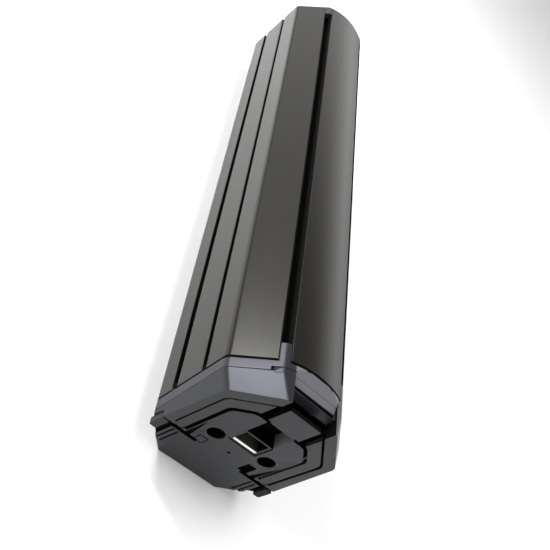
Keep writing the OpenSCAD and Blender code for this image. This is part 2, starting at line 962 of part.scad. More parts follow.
module sense_harness() {
    color("#d6d2c4") along(near(-board_y - board_t), pack_end)
        translate([-lead_x, lead_z]) square(ribbon, center = true);
}

module side_pads() {
    outer = half_w - wall - slip;
    color("#2c2c2e") both_sides()
        block([outer - pad_w, outer], [cells_start, pack_end],
            [pad_z - pad_h / 2 + cell_slip, pad_z + pad_h / 2 - cell_slip]);
}

// Far end
module far_cap() {
    floor_y = far_reach - flap_t - fit;
    color("#57575c") difference() {
        union() {
            along(far(gasket_t), far(far_flange)) difference() {
                polygon(outline(inset(gasket_in), soft_crown));
                both_sides() groove_shapes();
            }
            hull() {
                along(far(gasket_t), far(far_reach - far_edge))
                    polygon(outline(inset(far_in), soft_crown));
                along(far(far_reach - slice), far(far_reach))
                    polygon(outline(inset(far_in + far_edge), inner_r));
            }
            along(far(-spigot_l), far(gasket_t)) spigot_section();
            along(far(-tab_l), far(gasket_t)) slot_tab_section();
            both_sides() rod(post_r, far(board_far), far(gasket_t), post_at[0], post_at[1]);
        }
        block([-flap_w / 2 - fit, flap_w / 2 + fit], [far(floor_y), far(far_reach + over)],
            [flap_z - flap_h / 2 - fit, flap_z + flap_h / 2 + fit]);
        block([-knuckle_w / 2 - lug_w, knuckle_w / 2 + lug_w],
            [far(hinge_y - hinge_room), far(far_reach + over)],
            [hinge_z - hinge_room, hinge_z + hinge_room]);
        rod(port_d / 2 + port_wall + slip, far(-over), far(far_reach), 0, port_z);
        rod(button_d / 2 + fit, far(-over), far(far_reach + over), 0, button_z);
        rod(button_d / 2 + button_lip + fit, far(-over), far(far_reach - plate_t), 0, button_z);
        for (x = lens_far_xs) rod(lens_far_r + slip, far(-over), far(far_reach + over), x, lens_far_z);
        rod(vent_r + slip, far(far_reach - vent_t), far(far_reach + over), vent_at[0], vent_at[1]);
        rod(vent_r / 2, far(-over), far(far_reach), vent_at[0], vent_at[1]);
        both_sides() for (z = screw_zs) {
            rod(screw_r + slip, far(-spigot_l - over), far(far_reach), half_w - screw_side, z);
            rod(head_r + fit, far(far_flange), far(far_reach + over), half_w - screw_side, z);
        }
    }
    color("#57575c") both_sides() difference() {
        block([knuckle_w / 2 + fit, knuckle_w / 2 + lug_w],
            [far(hinge_y - hinge_room), far(hinge_y + knuckle_r)],
            [hinge_z - knuckle_r, hinge_z + knuckle_r]);
        translate([0, far(hinge_y), hinge_z]) rotate([0, 90, 0])
            cylinder(r = pin_hinge_r + slip, h = body_w);
    }
}

module far_gasket() {
    color("#151515") along(far(0), far(gasket_t)) case_section(gasket_in);
}

module far_screws() {
    color("#8a8a88") both_sides() for (z = screw_zs)
        translate([half_w - screw_side, far(far_flange), z]) far_screw(screw_l);
}

module power_button() {
    color("#2b2b2e") {
        rod(button_d / 2, far(far_reach - plate_t - button_flange), far(far_reach - fit), 0, button_z);
        rod(button_d / 2 + button_lip, far(far_reach - plate_t - fit - button_flange),
            far(far_reach - plate_t - fit), 0, button_z);
    }
}

// Helical wire, swept as rings of points
module coil(r, wire, rise, turns) {
    count = turns * spring_rings;
    points = [for (i = [0:count], j = [0:spring_sides - 1])
        let (a = i * 360 / spring_rings, b = j * 360 / spring_sides, q = r + wire * cos(b))
        [q * cos(a), q * sin(a), rise * i / count + wire * sin(b)]];
    skin = [for (i = [0:count - 1], j = [0:spring_sides - 1])
        let (k = (j + 1) % spring_sides, m = i * spring_sides)
        [m + j, m + spring_sides + j, m + spring_sides + k, m + k]];
    ends = [
        [for (j = [0:spring_sides - 1]) j],
        [for (j = [spring_sides - 1:-1:0]) count * spring_sides + j]
    ];
    polyhedron(points, concat(skin, ends));
}

module button_spring() {
    tip = far_reach - plate_t - fit - button_flange - button_travel - fit;
    color("#b9bbba") translate([0, far(board_far + spring_wire), button_z]) rotate([-90, 0, 0])
        coil(spring_r + spring_wire, spring_wire, tip - board_far - 2 * spring_wire, spring_turns);
}

module button_switch() {
    color("#1a1a1a") block([-switch_size[0] / 2, switch_size[0] / 2],
        [far(board_far), far(board_far + switch_size[1])],
        [button_z - switch_size[2] / 2, button_z + switch_size[2] / 2]);
}

module charge_port() {
    floor_y = far_reach - flap_t - fit;
    color("#1b1b1c") difference() {
        rod(port_d / 2 + port_wall, far(port_back - port_wall), far(floor_y), 0, port_z);
        rod(port_d / 2, far(port_back), far(far_reach), 0, port_z);
        for (a = [0, 120, 240]) rod(contact_r + slip, far(port_back - port_wall - over), far(0),
            contact_ring * sin(a), port_z + contact_ring * cos(a));
    }
}

module charge_contacts() {
    color("#c9a24a") for (a = [0, 120, 240])
        rod(contact_r, far(port_back - port_wall - over), far(contact_tip),
            contact_ring * sin(a), port_z + contact_ring * cos(a));
}

module port_flap() {
    color("#1d1d1f") difference() {
        union() {
            block([-flap_w / 2, flap_w / 2], [far(far_reach - flap_t), far(far_reach)],
                [hinge_z + hinge_room, flap_z + flap_h / 2]);
            block([-knuckle_w / 2, knuckle_w / 2], [far(far_reach - flap_t), far(far_reach)],
                [hinge_z, hinge_z + hinge_room + over]);
            translate([-knuckle_w / 2, far(hinge_y), hinge_z]) rotate([0, 90, 0])
                cylinder(r = knuckle_r, h = knuckle_w);
        }
        translate([-body_w, far(hinge_y), hinge_z]) rotate([0, 90, 0])
            cylinder(r = pin_hinge_r + slip, h = 2 * body_w);
        translate([0, far(far_reach), flap_z + flap_h / 2]) rotate([0, 90, 0])
            cylinder(r = flap_t / 2, h = knuckle_w, center = true);
    }
}

module flap_pin() {
    color("#9a9a98") translate([-knuckle_w / 2 - lug_w, far(hinge_y), hinge_z]) rotate([0, 90, 0])
        cylinder(r = pin_hinge_r, h = knuckle_w + 2 * lug_w);
}

module level_lenses() {
    color("#d9d6c8") for (x = lens_far_xs)
        rod(lens_far_r, far(board_far), far(far_reach - fit), x, lens_far_z);
}

module indicator_board() {
    color("#1f5a3a") along(far(board_far - board_t), far(board_far)) intersection() {
        cavity(2 * fit);
        polygon(outline(inset(wall + fit + spigot_wall + fit), inner_r));
        pane([-far_board_half, far_board_half], [far_board_foot, body_h]);
    }
}

module vent_plug() {
    color("#101010") difference() {
        rod(vent_r, far(far_reach - vent_t), far(far_reach), vent_at[0], vent_at[1]);
        for (a = [0:60:300]) rod(vent_r / 8, far(0), far(far_reach + over),
            vent_at[0] + vent_r * vent_ring_share * cos(a),
            vent_at[1] + vent_r * vent_ring_share * sin(a), $fn = 16);
    }
}

case_extrusion();
connector_collar();
connector_gasket();
collar_screws();
connector_cap();
cap_screws();
trim_band_left();
trim_band_right();
socket_housing();
contact_bar();
power_blades();
signal_pins();
guide_sleeve_left();
guide_sleeve_right();
status_lens();
bumper_left();
bumper_right();
lock_strike();
bms_board();
bms_mosfets();
bms_heat_plate();
main_fuse();
thermistor();
cell_group(1);  // cells_1
cell_group(2);  // cells_2
cell_group(3);  // cells_3
cell_group(4);  // cells_4
cell_group(5);  // cells_5
cell_holder(1);  // cell_holder_1
cell_holder(2);  // cell_holder_2
cell_holder(3);  // cell_holder_3
cell_holder(4);  // cell_holder_4
cell_holder(5);  // cell_holder_5
holder(pack_end - cell_slip - holder_l);  // cell_holder_6
bus_strips(1);  // bus_strips_1
bus_strips(2);  // bus_strips_2
bus_strips(3);  // bus_strips_3
bus_strips(4);  // bus_strips_4
bus_strips(5);  // bus_strips_5
bus_strips(6);  // bus_strips_6
positive_lead();
negative_lead();
sense_harness();
side_pads();
far_cap();
far_gasket();
far_screws();
power_button();
button_spring();
button_switch();
charge_port();
charge_contacts();
port_flap();
flap_pin();
level_lenses();
indicator_board();
vent_plug();
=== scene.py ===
"""Dressed model of a downtube battery for an electric bicycle.

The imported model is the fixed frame. Each sub-assembly is a class that takes its
visible nodes over as meshes with worked edges, models the small forms that sit
on them, and gives every piece its finish.
"""

import json
import logging
import math
from collections.abc import Callable, Iterable
from dataclasses import dataclass, field
from enum import Enum

import bmesh
import bpy
from mathutils import Matrix, Quaternion, Vector

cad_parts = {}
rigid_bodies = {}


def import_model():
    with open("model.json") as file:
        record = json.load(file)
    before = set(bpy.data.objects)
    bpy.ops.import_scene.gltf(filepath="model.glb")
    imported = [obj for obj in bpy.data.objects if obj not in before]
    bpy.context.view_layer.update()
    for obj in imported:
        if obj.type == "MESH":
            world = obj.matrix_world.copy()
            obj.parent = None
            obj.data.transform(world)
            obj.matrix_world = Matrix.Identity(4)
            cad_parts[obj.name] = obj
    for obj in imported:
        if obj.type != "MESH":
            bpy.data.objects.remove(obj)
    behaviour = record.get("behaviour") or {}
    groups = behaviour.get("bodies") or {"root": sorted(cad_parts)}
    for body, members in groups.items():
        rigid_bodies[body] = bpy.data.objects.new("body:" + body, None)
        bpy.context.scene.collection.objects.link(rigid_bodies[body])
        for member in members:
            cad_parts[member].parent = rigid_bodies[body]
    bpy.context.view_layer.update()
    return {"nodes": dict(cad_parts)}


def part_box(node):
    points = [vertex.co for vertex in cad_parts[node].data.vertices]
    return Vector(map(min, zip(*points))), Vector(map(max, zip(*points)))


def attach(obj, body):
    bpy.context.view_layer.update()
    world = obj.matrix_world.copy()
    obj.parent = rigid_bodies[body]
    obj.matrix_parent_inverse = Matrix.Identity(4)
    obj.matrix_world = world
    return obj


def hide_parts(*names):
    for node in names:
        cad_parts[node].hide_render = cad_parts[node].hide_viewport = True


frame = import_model()

# One millimetre in metres.
MM = 0.001
# Corners closer than this, in metres, are one corner.
TINY = 1e-6
# Slack in a test of place, in millimetres.
NEAR_MM = 0.02
# Neighbouring faces that turn less than this lie in one plane.
FLAT_DEG = 0.2
# A face has room for a bevel if it reaches this many widths from the edge.
ROOM_WIDTHS = 2.5
# Corners of the extruded case in millimetres, to the micron.
CASE_LOW, CASE_HIGH = ([round(at / MM, 3) for at in corner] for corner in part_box("case_extrusion"))
CASE_END_MM = CASE_LOW[1]
HALF_W_MM = CASE_HIGH[0]
LOG = logging.getLogger("battery")


def linear(code: str) -> tuple[float, float, float, float]:
    """Turns an sRGB colour to the linear values that a shader takes.

    Args:
        code: The colour as #rrggbb.

    Returns:
        Red, green, blue and alpha.
    """
    shares = [int(code[i:i + 2], 16) / 255 for i in (1, 3, 5)]
    red, green, blue = [s / 12.92 if s <= 0.04045 else ((s + 0.055) / 1.055) ** 2.4 for s in shares]
    return red, green, blue, 1.0


def per_metre(size_mm: float) -> float:
    """Texture scale at which one feature is size_mm across."""
    return 1 / (size_mm * MM)


def add_node(tree: bpy.types.NodeTree, kind: str, settings: dict | None = None,
             links: dict | None = None) -> bpy.types.Node:
    """Adds a node with its settings and links.

    Args:
        tree: The material's node tree.
        kind: The node's type.
        settings: Attributes by name, or values of inputs by name or number.
        links: Output sockets by the name or number of the input that each feeds.

    Returns:
        The new node.
    """
    node = tree.nodes.new(kind)
    for key, value in (settings or {}).items():
        if isinstance(key, str) and hasattr(node, key):
            setattr(node, key, value)
        else:
            node.inputs[key].default_value = value
    for key, socket in (links or {}).items():
        tree.links.new(socket, node.inputs[key])
    return node


class Surface(Enum):
    """How a surface was made, as the scale of its grain along X, Y and Z: less is longer."""

    BRUSHED_LENGTHWAYS = (1.0, 0.02, 1.0)
    MOULDED = (1.0, 1.0, 1.0)
    DRAWN = (1.0, 0.1, 1.0)
    ROLLED = (0.2, 1.0, 1.0)


@dataclass(frozen=True)
class Finish:
    """One real material and its surface, as a shader.

    Attributes:
        name: Common name of the material.
        colour: Colour of the clean surface.
        shade: Colour of the slightly different patches in it.
        roughness: Roughness of the clean surface.
        swing: How far roughness wanders from patch to patch.
        grain_mm: Size of the grain.
        depth_mm: Height of the grain.
        patch_mm: Size of the patches in colour and roughness.
        surface: How the surface was made.
        metallic: 1 on bare metal, 0 on the rest.
        ior: Index of refraction, left alone on metals.
        specular: Specular level.
        clear: Share of light that passes through.
        sheen: Strength of the sheen.
        coat: Strength of a clear coat.
        glint: Colour of the reflections.
        wear: Colour that edges wear to.
        wear_share: How much of the edges is worn.
        edge_mm: Radius that shading gives to the sharpest edges.
        edge_samples: Samples of that radius.
        details: Octaves of the grain and of the patches.
        wear_cosines: Cosine of an edge's turn where wear starts, and where it is full.
    """

    name: str
    colour: str
    shade: str
    roughness: float
    swing: float = 0.05
    grain_mm: float = 0.35
    depth_mm: float = 0.004
    patch_mm: float = 30.0
    surface: Surface = Surface.MOULDED
    metallic: float = 0.0
    ior: float = 1.5
    specular: float = 0.5
    clear: float = 0.0
    sheen: float = 0.0
    coat: float = 0.0
    glint: str = "#ffffff"
    wear: str = "#808080"
    wear_share: float = 0.0
    edge_mm: float = 0.2
    edge_samples: int = 4
    details: tuple[float, float] = (3.0, 4.0)
    wear_cosines: tuple[float, float] = (0.99, 0.85)

    def material(self) -> bpy.types.Material:
        """The finish as a material, made once."""
        return bpy.data.materials.get(self.name) or self.make()

    def make(self) -> bpy.types.Material:
        """Builds the material's nodes.

        A Mix node takes its two colours at inputs 6 and 7, and gives their mix at output 2.

        Returns:
            The new material.
        """
        made = bpy.data.materials.new(self.name)
        made.use_nodes = True
        tree = made.node_tree
        tree.nodes.clear()
        place = add_node(tree, "ShaderNodeTexCoord").outputs["Object"]
        along = add_node(tree, "ShaderNodeMapping", {"Scale": self.surface.value}, {"Vector": place})
        grain, patch = [
            add_node(tree, "ShaderNodeTexNoise", {"Scale": per_metre(size_mm), "Detail": detail},
                     {"Vector": along.outputs[0]})
            for size_mm, detail in zip((self.grain_mm, self.patch_mm), self.details)
        ]
        tint = add_node(tree, "ShaderNodeMix", {
            "data_type": "RGBA", 6: linear(self.colour), 7: linear(self.shade),
        }, {0: patch.outputs[0]})
        edge = add_node(tree, "ShaderNodeBevel", {
            "samples": self.edge_samples, "Radius": self.edge_mm * MM,
        })
        bump = add_node(tree, "ShaderNodeBump", {"Strength": 1.0, "Distance": self.depth_mm * MM},
                        {"Height": grain.outputs[0], "Normal": edge.outputs[0]})
        colour = tint.outputs[2]
        if self.wear_share:
            colour = self.worn(tree, colour, edge.outputs[0], patch.outputs[0])
        rough = add_node(tree, "ShaderNodeMapRange", {
            "To Min": self.roughness - self.swing, "To Max": self.roughness + self.swing,
        }, {"Value": patch.outputs[0]})
        shader = add_node(tree, "ShaderNodeBsdfPrincipled", {
            "Metallic": self.metallic, "IOR": self.ior, "Specular IOR Level": self.specular,
            "Transmission Weight": self.clear, "Sheen Weight": self.sheen, "Coat Weight": self.coat,
            "Specular Tint": linear(self.glint),
        }, {"Base Color": colour, "Roughness": rough.outputs[0], "Normal": bump.outputs[0]})
        add_node(tree, "ShaderNodeOutputMaterial", {}, {"Surface": shader.outputs[0]})
        return made

    def worn(self, tree: bpy.types.NodeTree, colour: bpy.types.NodeSocket,
             rounded: bpy.types.NodeSocket, patch: bpy.types.NodeSocket) -> bpy.types.NodeSocket:
        """Mixes the wear colour in where an edge turns.

        Args:
            tree: The material's node tree.
            colour: Colour of the clean surface.
            rounded: Normal with the edges rounded.
            patch: Noise that breaks the wear up.

        Returns:
            The colour with wear.
        """
        flat = add_node(tree, "ShaderNodeNewGeometry").outputs["Normal"]
        turn = add_node(tree, "ShaderNodeVectorMath", {"operation": "DOT_PRODUCT"},
                        {0: rounded, 1: flat})
        start, full = self.wear_cosines
        edge = add_node(tree, "ShaderNodeMapRange", {
            "From Min": start, "From Max": full, "To Min": 0.0, "To Max": self.wear_share,
        }, {"Value": turn.outputs["Value"]})
        broken = add_node(tree, "ShaderNodeMath", {"operation": "MULTIPLY"},
                          {0: edge.outputs[0], 1: patch})
        mixed = add_node(tree, "ShaderNodeMix", {"data_type": "RGBA", 7: linear(self.wear)},
                         {0: broken.outputs[0], 6: colour})
        return mixed.outputs[2]


# The real grain of mouldings, rubber and metal is too fine to show in the render, so it
# is drawn as coarse as it needs to show.

# Black-anodised aluminium extrusion: nearly black, with faint die lines that run
# the length of the case. The glassy oxide meets the eye, not the metal, so it
# reflects little from above, much at a flat angle, and slightly warm.
CASE_METAL = Finish(
    "black_anodised_aluminium", "#141311", "#1a1917", roughness=0.24, swing=0.025,
    grain_mm=0.5, depth_mm=0.004, patch_mm=14.0, surface=Surface.BRUSHED_LENGTHWAYS,
    ior=1.34, glint="#fcfbf2", wear="#6d6c68", wear_share=0.5,
)
# Painted shade: the walls of slots and grooves, the same oxide but unbrushed, painted near black for the
# shade that falls in them.
SHADE_PAINTED_METAL = Finish(
    "anodised_painted_shade", "#060606", "#0a0a09", roughness=0.6, grain_mm=0.5, depth_mm=0.01,
    patch_mm=10.0, surface=Surface.BRUSHED_LENGTHWAYS, ior=1.2, specular=0.1,
)
# Glass-filled nylon in a satin mould: slightly purple grey, with a soft broad shine.
COLLAR_PLASTIC = Finish(
    "moulded_nylon_collar", "#242428", "#202024", roughness=0.36, swing=0.03,
    grain_mm=0.35, depth_mm=0.006, ior=1.41, glint="#eceefe", wear="#66666e", wear_share=0.4,
)
CAP_PLASTIC = Finish(
    "moulded_nylon_cap", "#202121", "#1d1e1e", roughness=0.38, swing=0.03,
    grain_mm=0.35, depth_mm=0.006, ior=1.41, glint="#eeeffd", wear="#62626a", wear_share=0.4,
)
# Painted shade: the same nylon, painted near black at the bottom of grooves and pockets, where no light
# reaches it.
SHADE_PAINTED_PLASTIC = Finish(
    "moulded_nylon_painted_shade", "#0a0a0b", "#0d0d0e", roughness=0.7, grain_mm=0.35, depth_mm=0.006,
    ior=1.2, specular=0.1,
)
# Painted light: faces of the crown bar's slope and the scoop's flank, painted pale for the light that
# falls on them.
LIGHT_PAINTED_PLASTIC = Finish(
    "moulded_nylon_painted_light", "#66666a", "#5c5c60", roughness=0.5, grain_mm=0.35, depth_mm=0.006,
    patch_mm=6.0,
)
# The face inserts come from a spark-eroded mould, so they look flat and matt.
TRIM_PLASTIC = Finish(
    "moulded_abs_trim", "#212220", "#1f201e", roughness=0.45, swing=0.03,
    grain_mm=0.3, depth_mm=0.006, ior=1.42, wear="#5c5c5c", wear_share=0.3,
)
# The far cap is the same nylon from a coarser mould: a broad, duller shine.
FAR_PLASTIC = Finish(
    "moulded_nylon_far_cap", "#2c2c30", "#27272b", roughness=0.45, swing=0.05,
    grain_mm=0.35, depth_mm=0.008, wear="#76767c", wear_share=0.4,
)
# Soft seals and bumpers: near-black, dull, with a faint bloom.
SEAL_RUBBER = Finish(
    "epdm_seal", "#0a0a0a", "#101010", roughness=0.85, grain_mm=0.5, depth_mm=0.01, ior=1.3,
)
BUMPER_RUBBER = Finish(
    "tpe_bumper", "#0b0b0b", "#101010", roughness=0.7, grain_mm=0.4, depth_mm=0.015, ior=1.32,
)
# Painted light: the left bumper is a lit copy of the bumper rubber, painted grey.
LIGHT_PAINTED_RUBBER = Finish(
    "tpe_bumper_painted_light", "#292a2b", "#232425", roughness=0.65, grain_mm=0.4, depth_mm=0.015, ior=1.4,
)
# Silicone and soft flap rubber: black and dull, with a pale haze at a flat angle.
BUTTON_RUBBER = Finish(
    "silicone_button", "#1a1a1c", "#202023", roughness=0.65, grain_mm=0.3, depth_mm=0.008, sheen=0.25,
)
FLAP_RUBBER = Finish(
    "tpe_port_flap", "#151517", "#1c1c1f", roughness=0.68, grain_mm=0.35, depth_mm=0.012, sheen=0.25,
)
# Zinc-plated steel screws: cool grey, with turning marks.
SCREW_STEEL = Finish(
    "zinc_plated_steel", "#8a8a88", "#7a7a79", roughness=0.32, grain_mm=0.25, depth_mm=0.004,
    patch_mm=3.0, metallic=1.0,
)
# Stamped sheet steel: the same grey, with rolling lines across it.
STRIKE_STEEL = Finish(
    "stamped_spring_steel", "#8f8f8d", "#7f7f7e", roughness=0.35, grain_mm=0.3, depth_mm=0.003,
    patch_mm=6.0, surface=Surface.ROLLED, metallic=1.0,
)
# A ground pin and drawn spring wire: brighter and smoother than the screws.
PIN_STEEL = Finish(
    "ground_steel_pin", "#9a9a98", "#8c8c8a", roughness=0.25, grain_mm=0.2, depth_mm=0.002,
    patch_mm=4.0, surface=Surface.ROLLED, metallic=1.0,
)
SPRING_STEEL = Finish(
    "music_wire", "#b0b2b1", "#9fa1a0", roughness=0.28, grain_mm=0.2, depth_mm=0.002,
    patch_mm=3.0, metallic=1.0,
)
# Connector plastic and slippery acetal sleeves: deep black, so that metal stands out.
SOCKET_PLASTIC = Finish(
    "black_pbt_socket", "#0f0f10", "#151516", roughness=0.5, grain_mm=0.3, depth_mm=0.006,
)
SLEEVE_PLASTIC = Finish(
    "black_acetal_sleeve", "#0e0e0f", "#141415", roughness=0.35, grain_mm=0.3, depth_mm=0.004,
)
# Silver-plated copper: the brightest thing on the part.
CONTACT_SILVER = Finish(
    "silver_plated_copper", "#fbfaf4", "#f2f1ea", roughness=0.4, grain_mm=0.2, depth_mm=0.002,
    patch_mm=3.0, surface=Surface.ROLLED, metallic=1.0,
)
# The contacts deep in the socket: dull tinned copper, painted dark grey for the shade there.
SHADE_PAINTED_TIN = Finish(
    "tinned_copper_painted_shade", "#4a4a4a", "#424242", roughness=0.6, grain_mm=0.2, depth_mm=0.002,
    patch_mm=2.0, metallic=1.0,
)
# Thin gold over brass: a warm yellow glint at the bottom of the charge port.
CONTACT_BRASS = Finish(
    "gold_flashed_brass", "#d0a850", "#c09a48", roughness=0.25, grain_mm=0.2, depth_mm=0.002,
    patch_mm=2.0, metallic=1.0,
)
# Light pipes: milky polycarbonate.
LENS_PLASTIC = Finish(
    "frosted_polycarbonate", "#dcd9cc", "#d2cfc2", roughness=0.3, grain_mm=0.3, depth_mm=0.003,
    patch_mm=4.0, ior=1.58, clear=0.4,
)
# Circuit board: dark green lacquer that shines over a faint weave.
BOARD = Finish(
    "solder_masked_fr4", "#1f5a3a", "#1a4f33", roughness=0.35, grain_mm=1.2, depth_mm=0.01,
    patch_mm=8.0, coat=0.3,
)
# Moulded epoxy round the chips: flat black.
CHIP_PLASTIC = Finish(
    "epoxy_chip_package", "#1b1b1c", "#232324", roughness=0.55, grain_mm=0.15, depth_mm=0.006,
    patch_mm=2.0,
)
# Milled aluminium: pale, with tool lines across it.
HEAT_PLATE = Finish(
    "milled_aluminium", "#b9bbba", "#acaead", roughness=0.3, grain_mm=0.4, depth_mm=0.004,
    patch_mm=6.0, surface=Surface.ROLLED, metallic=1.0,
)
# Glazed ceramic: near-white and glossy.
FUSE_BODY = Finish(
    "ceramic_fuse_body", "#d7dde0", "#ccd2d6", roughness=0.2, grain_mm=0.4, depth_mm=0.002,
    patch_mm=5.0, coat=0.4,
)
# Shrink wrap: glossy blue, with faint waves along the cell.
CELL_WRAP = Finish(
    "pvc_shrink_wrap", "#2f6fb0", "#2a649f", roughness=0.3, grain_mm=3.0, depth_mm=0.02,
    patch_mm=12.0, surface=Surface.DRAWN, coat=0.2,
)
# The ends of a cell: plated can, and a ring of pressed paper under the wrap's lip.
CAN_STEEL = Finish(
    "nickel_plated_can", "#b6b8b8", "#a6a8a8", roughness=0.26, grain_mm=0.3, depth_mm=0.003,
    patch_mm=4.0, metallic=1.0,
)
INSULATOR = Finish(
    "pressed_fibre_ring", "#ddd8ca", "#d0cabb", roughness=0.8, grain_mm=0.25, depth_mm=0.01,
    patch_mm=3.0,
)
# Cell holders: black with a plain matt moulded skin.
HOLDER_PLASTIC = Finish(
    "flame_retardant_abs", "#20211f", "#1b1c1a", roughness=0.55, grain_mm=0.3, depth_mm=0.01,
)
# Rolled nickel: a pale metal with rolling lines.
NICKEL_STRIP = Finish(
    "pure_nickel_strip", "#c6c8c8", "#b8baba", roughness=0.3, grain_mm=0.3, depth_mm=0.003,
    patch_mm=5.0, surface=Surface.ROLLED, metallic=1.0,
)
# Silicone leads: strong red and black with a soft, dry shine.
LEAD_RED = Finish(
    "red_silicone_lead", "#b3261e", "#a3211a", roughness=0.5, grain_mm=0.4, depth_mm=0.006,
    surface=Surface.DRAWN, sheen=0.2,
)
LEAD_BLACK = Finish(
    "black_silicone_lead", "#161616", "#1d1d1d", roughness=0.5, grain_mm=0.4, depth_mm=0.006,
    surface=Surface.DRAWN, sheen=0.2,
)
# Ribbon cable: ivory, with ridges about one 1.27 mm wire apart.
RIBBON = Finish(
    "pvc_ribbon_cable", "#d6d2c4", "#c9c5b7", roughness=0.45, grain_mm=1.27, depth_mm=0.05,
    surface=Surface.BRUSHED_LENGTHWAYS,
)
# Closed-cell foam: dark grey, rough and without shine.
FOAM = Finish(
    "closed_cell_foam", "#2c2c2e", "#343436", roughness=0.9, grain_mm=0.6, depth_mm=0.12, sheen=0.3,
)
# Vent membrane: a dull black film.
VENT_MEMBRANE = Finish(
    "expanded_ptfe_vent", "#101010", "#181818", roughness=0.75, grain_mm=0.2, depth_mm=0.01,
)


def select_only(*objects: bpy.types.Object) -> None:
    """Selects these objects and nothing else.

    Args:
        *objects: The objects, the active one last, or none to deselect all.
    """
    bpy.ops.object.select_all(action="DESELECT")
    for item in objects:
        item.select_set(True)
        bpy.context.view_layer.objects.active = item


def reach_across(face: bmesh.types.BMFace, edge: bmesh.types.BMEdge) -> float:
    """Measures how far a face reaches from one of its edges.

    Args:
        face: The face.
        edge: Its edge.

    Returns:
        The greatest distance of a corner from the edge's line, in metres.
    """
    start = edge.verts[0].co
    way = (edge.verts[1].co - start).normalized()
    return max((v.co - start).cross(way).length for v in face.verts)


def has_room(edge: bmesh.types.BMEdge, width: float, sharp: float) -> bool:
    """Says if an edge is sharp and both of its faces have room for a bevel.

    Args:
        edge: The edge.
        width: Width of the bevel in metres.
        sharp: Least turn of a sharp edge, in radians.

    Returns:
        True where the bevel fits.
    """
    if len(edge.link_faces) != 2 or edge.calc_face_angle(0.0) < sharp or edge.calc_length() < width:
        return False
    return all(reach_across(face, edge) > ROOM_WIDTHS * width for face in edge.link_faces)


def cone(foot_mm: float, top_mm: float, start_mm: float, end_mm: float,
         sides: int = 36) -> bpy.types.Object:
    """Adds a closed cone or cylinder along Y.

    Args:
        foot_mm: Radius at its start.
        top_mm: Radius at its end.
        start_mm: Where it starts on the Y axis.
        end_mm: Where it ends.
        sides: Number of its sides.

    Returns:
        The new mesh, with its origin at the world's.
    """
    select_only()
    bpy.ops.mesh.primitive_cone_add(
        vertices=sides, radius1=foot_mm * MM, radius2=top_mm * MM, depth=(end_mm - start_mm) * MM,
        location=(0, (start_mm + end_mm) / 2 * MM, 0), rotation=(-math.pi / 2, 0, 0))
    bpy.ops.object.transform_apply(location=True, rotation=True, scale=True)
    return bpy.context.object


def block(low: Vector, high: Vector, round_mm: float = 0.25, steps: int = 3) -> bpy.types.Object:
    """Adds a block with rounded edges.

    Args:
        low: Its lowest corner in millimetres.
        high: Its highest corner.
        round_mm: Width of its rounded edges.
        steps: Number of faces in each.

    Returns:
        The new mesh.
    """
    select_only()
    bpy.ops.mesh.primitive_cube_add(size=1, location=(low + high) / 2 * MM, scale=(high - low) * MM)
    bpy.ops.object.transform_apply(location=True, rotation=True, scale=True)
    made = bpy.context.object
    apply_modifier(made, "BEVEL", width=round_mm * MM, segments=steps)
    return made


def apply_modifier(piece: bpy.types.Object, kind: str, **settings: object) -> None:
    """Adds a modifier to a piece and applies it.

    Args:
        piece: The piece.
        kind: The modifier's type.
        **settings: Its settings.
    """
    select_only(piece)
    bpy.ops.object.modifier_add(type=kind)
    made = piece.modifiers[-1]
    for name, value in settings.items():
        setattr(made, name, value)
    bpy.ops.object.modifier_apply(modifier=made.name)


def hold_inside(piece: bpy.types.Object, node: str) -> None:
    """Moves corners that the worked edges push out of a node's box back to it.

    Args:
        piece: The piece that stands for the node.
        node: The node.
    """
    low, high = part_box(node)
    for vertex in piece.data.vertices:
        vertex.co = [min(max(at, least), most) for at, least, most in zip(vertex.co, low, high)]


def join(*parts: bpy.types.Object) -> bpy.types.Object:
    """Joins meshes to the last of them.

    Args:
        *parts: The meshes.

    Returns:
        The joined mesh.
    """
    select_only(*parts)
    bpy.ops.object.join()
    return bpy.context.object


def part_boxes(node: str) -> list[tuple[Vector, Vector]]:
    """Finds the loose parts of a node.

    Args:
        node: The node.

    Returns:
        The lowest and the highest corner of each part, in millimetres.
    """
    known = set(bpy.data.objects)
    probe = bpy.data.objects.new("probe", frame["nodes"][node].data.copy())
    bpy.context.scene.collection.objects.link(probe)
    select_only(probe)
    bpy.ops.object.mode_set(mode="EDIT")
    bpy.ops.mesh.select_all(action="SELECT")
    bpy.ops.mesh.remove_doubles(threshold=TINY)
    bpy.ops.mesh.separate(type="LOOSE")
    bpy.ops.object.mode_set(mode="OBJECT")
    boxes = []
    for part in set(bpy.data.objects) - known:
        corners = [Vector(corner) / MM for corner in part.bound_box]
        boxes.append((Vector(map(min, zip(*corners))), Vector(map(max, zip(*corners)))))
        bpy.data.objects.remove(part)
    return sorted(boxes, key=lambda box: tuple(box[0]))


@dataclass(frozen=True)
class Dish:
    """Rings worked into the flat front of a piece.

    Attributes:
        rings: Inset and depth of each ring, in millimetres.
        holds: Says if a place in millimetres lies on the front.
    """

    rings: tuple[tuple[float, float], ...]
    holds: Callable[[Vector], bool]

    def work(self, piece: bpy.types.Object) -> None:
        """Works the rings into a piece.

        Args:
            piece: The piece, in edit mode.
        """
        bpy.ops.mesh.select_all(action="DESELECT")
        shape = bmesh.from_edit_mesh(piece.data)
        for face in shape.faces:
            if self.holds(face.calc_center_median() / MM):
                face.select_set(True)
        bmesh.update_edit_mesh(piece.data)
        for inset_mm, depth_mm in self.rings:
            bpy.ops.mesh.inset(thickness=inset_mm * MM, depth=-depth_mm * MM)


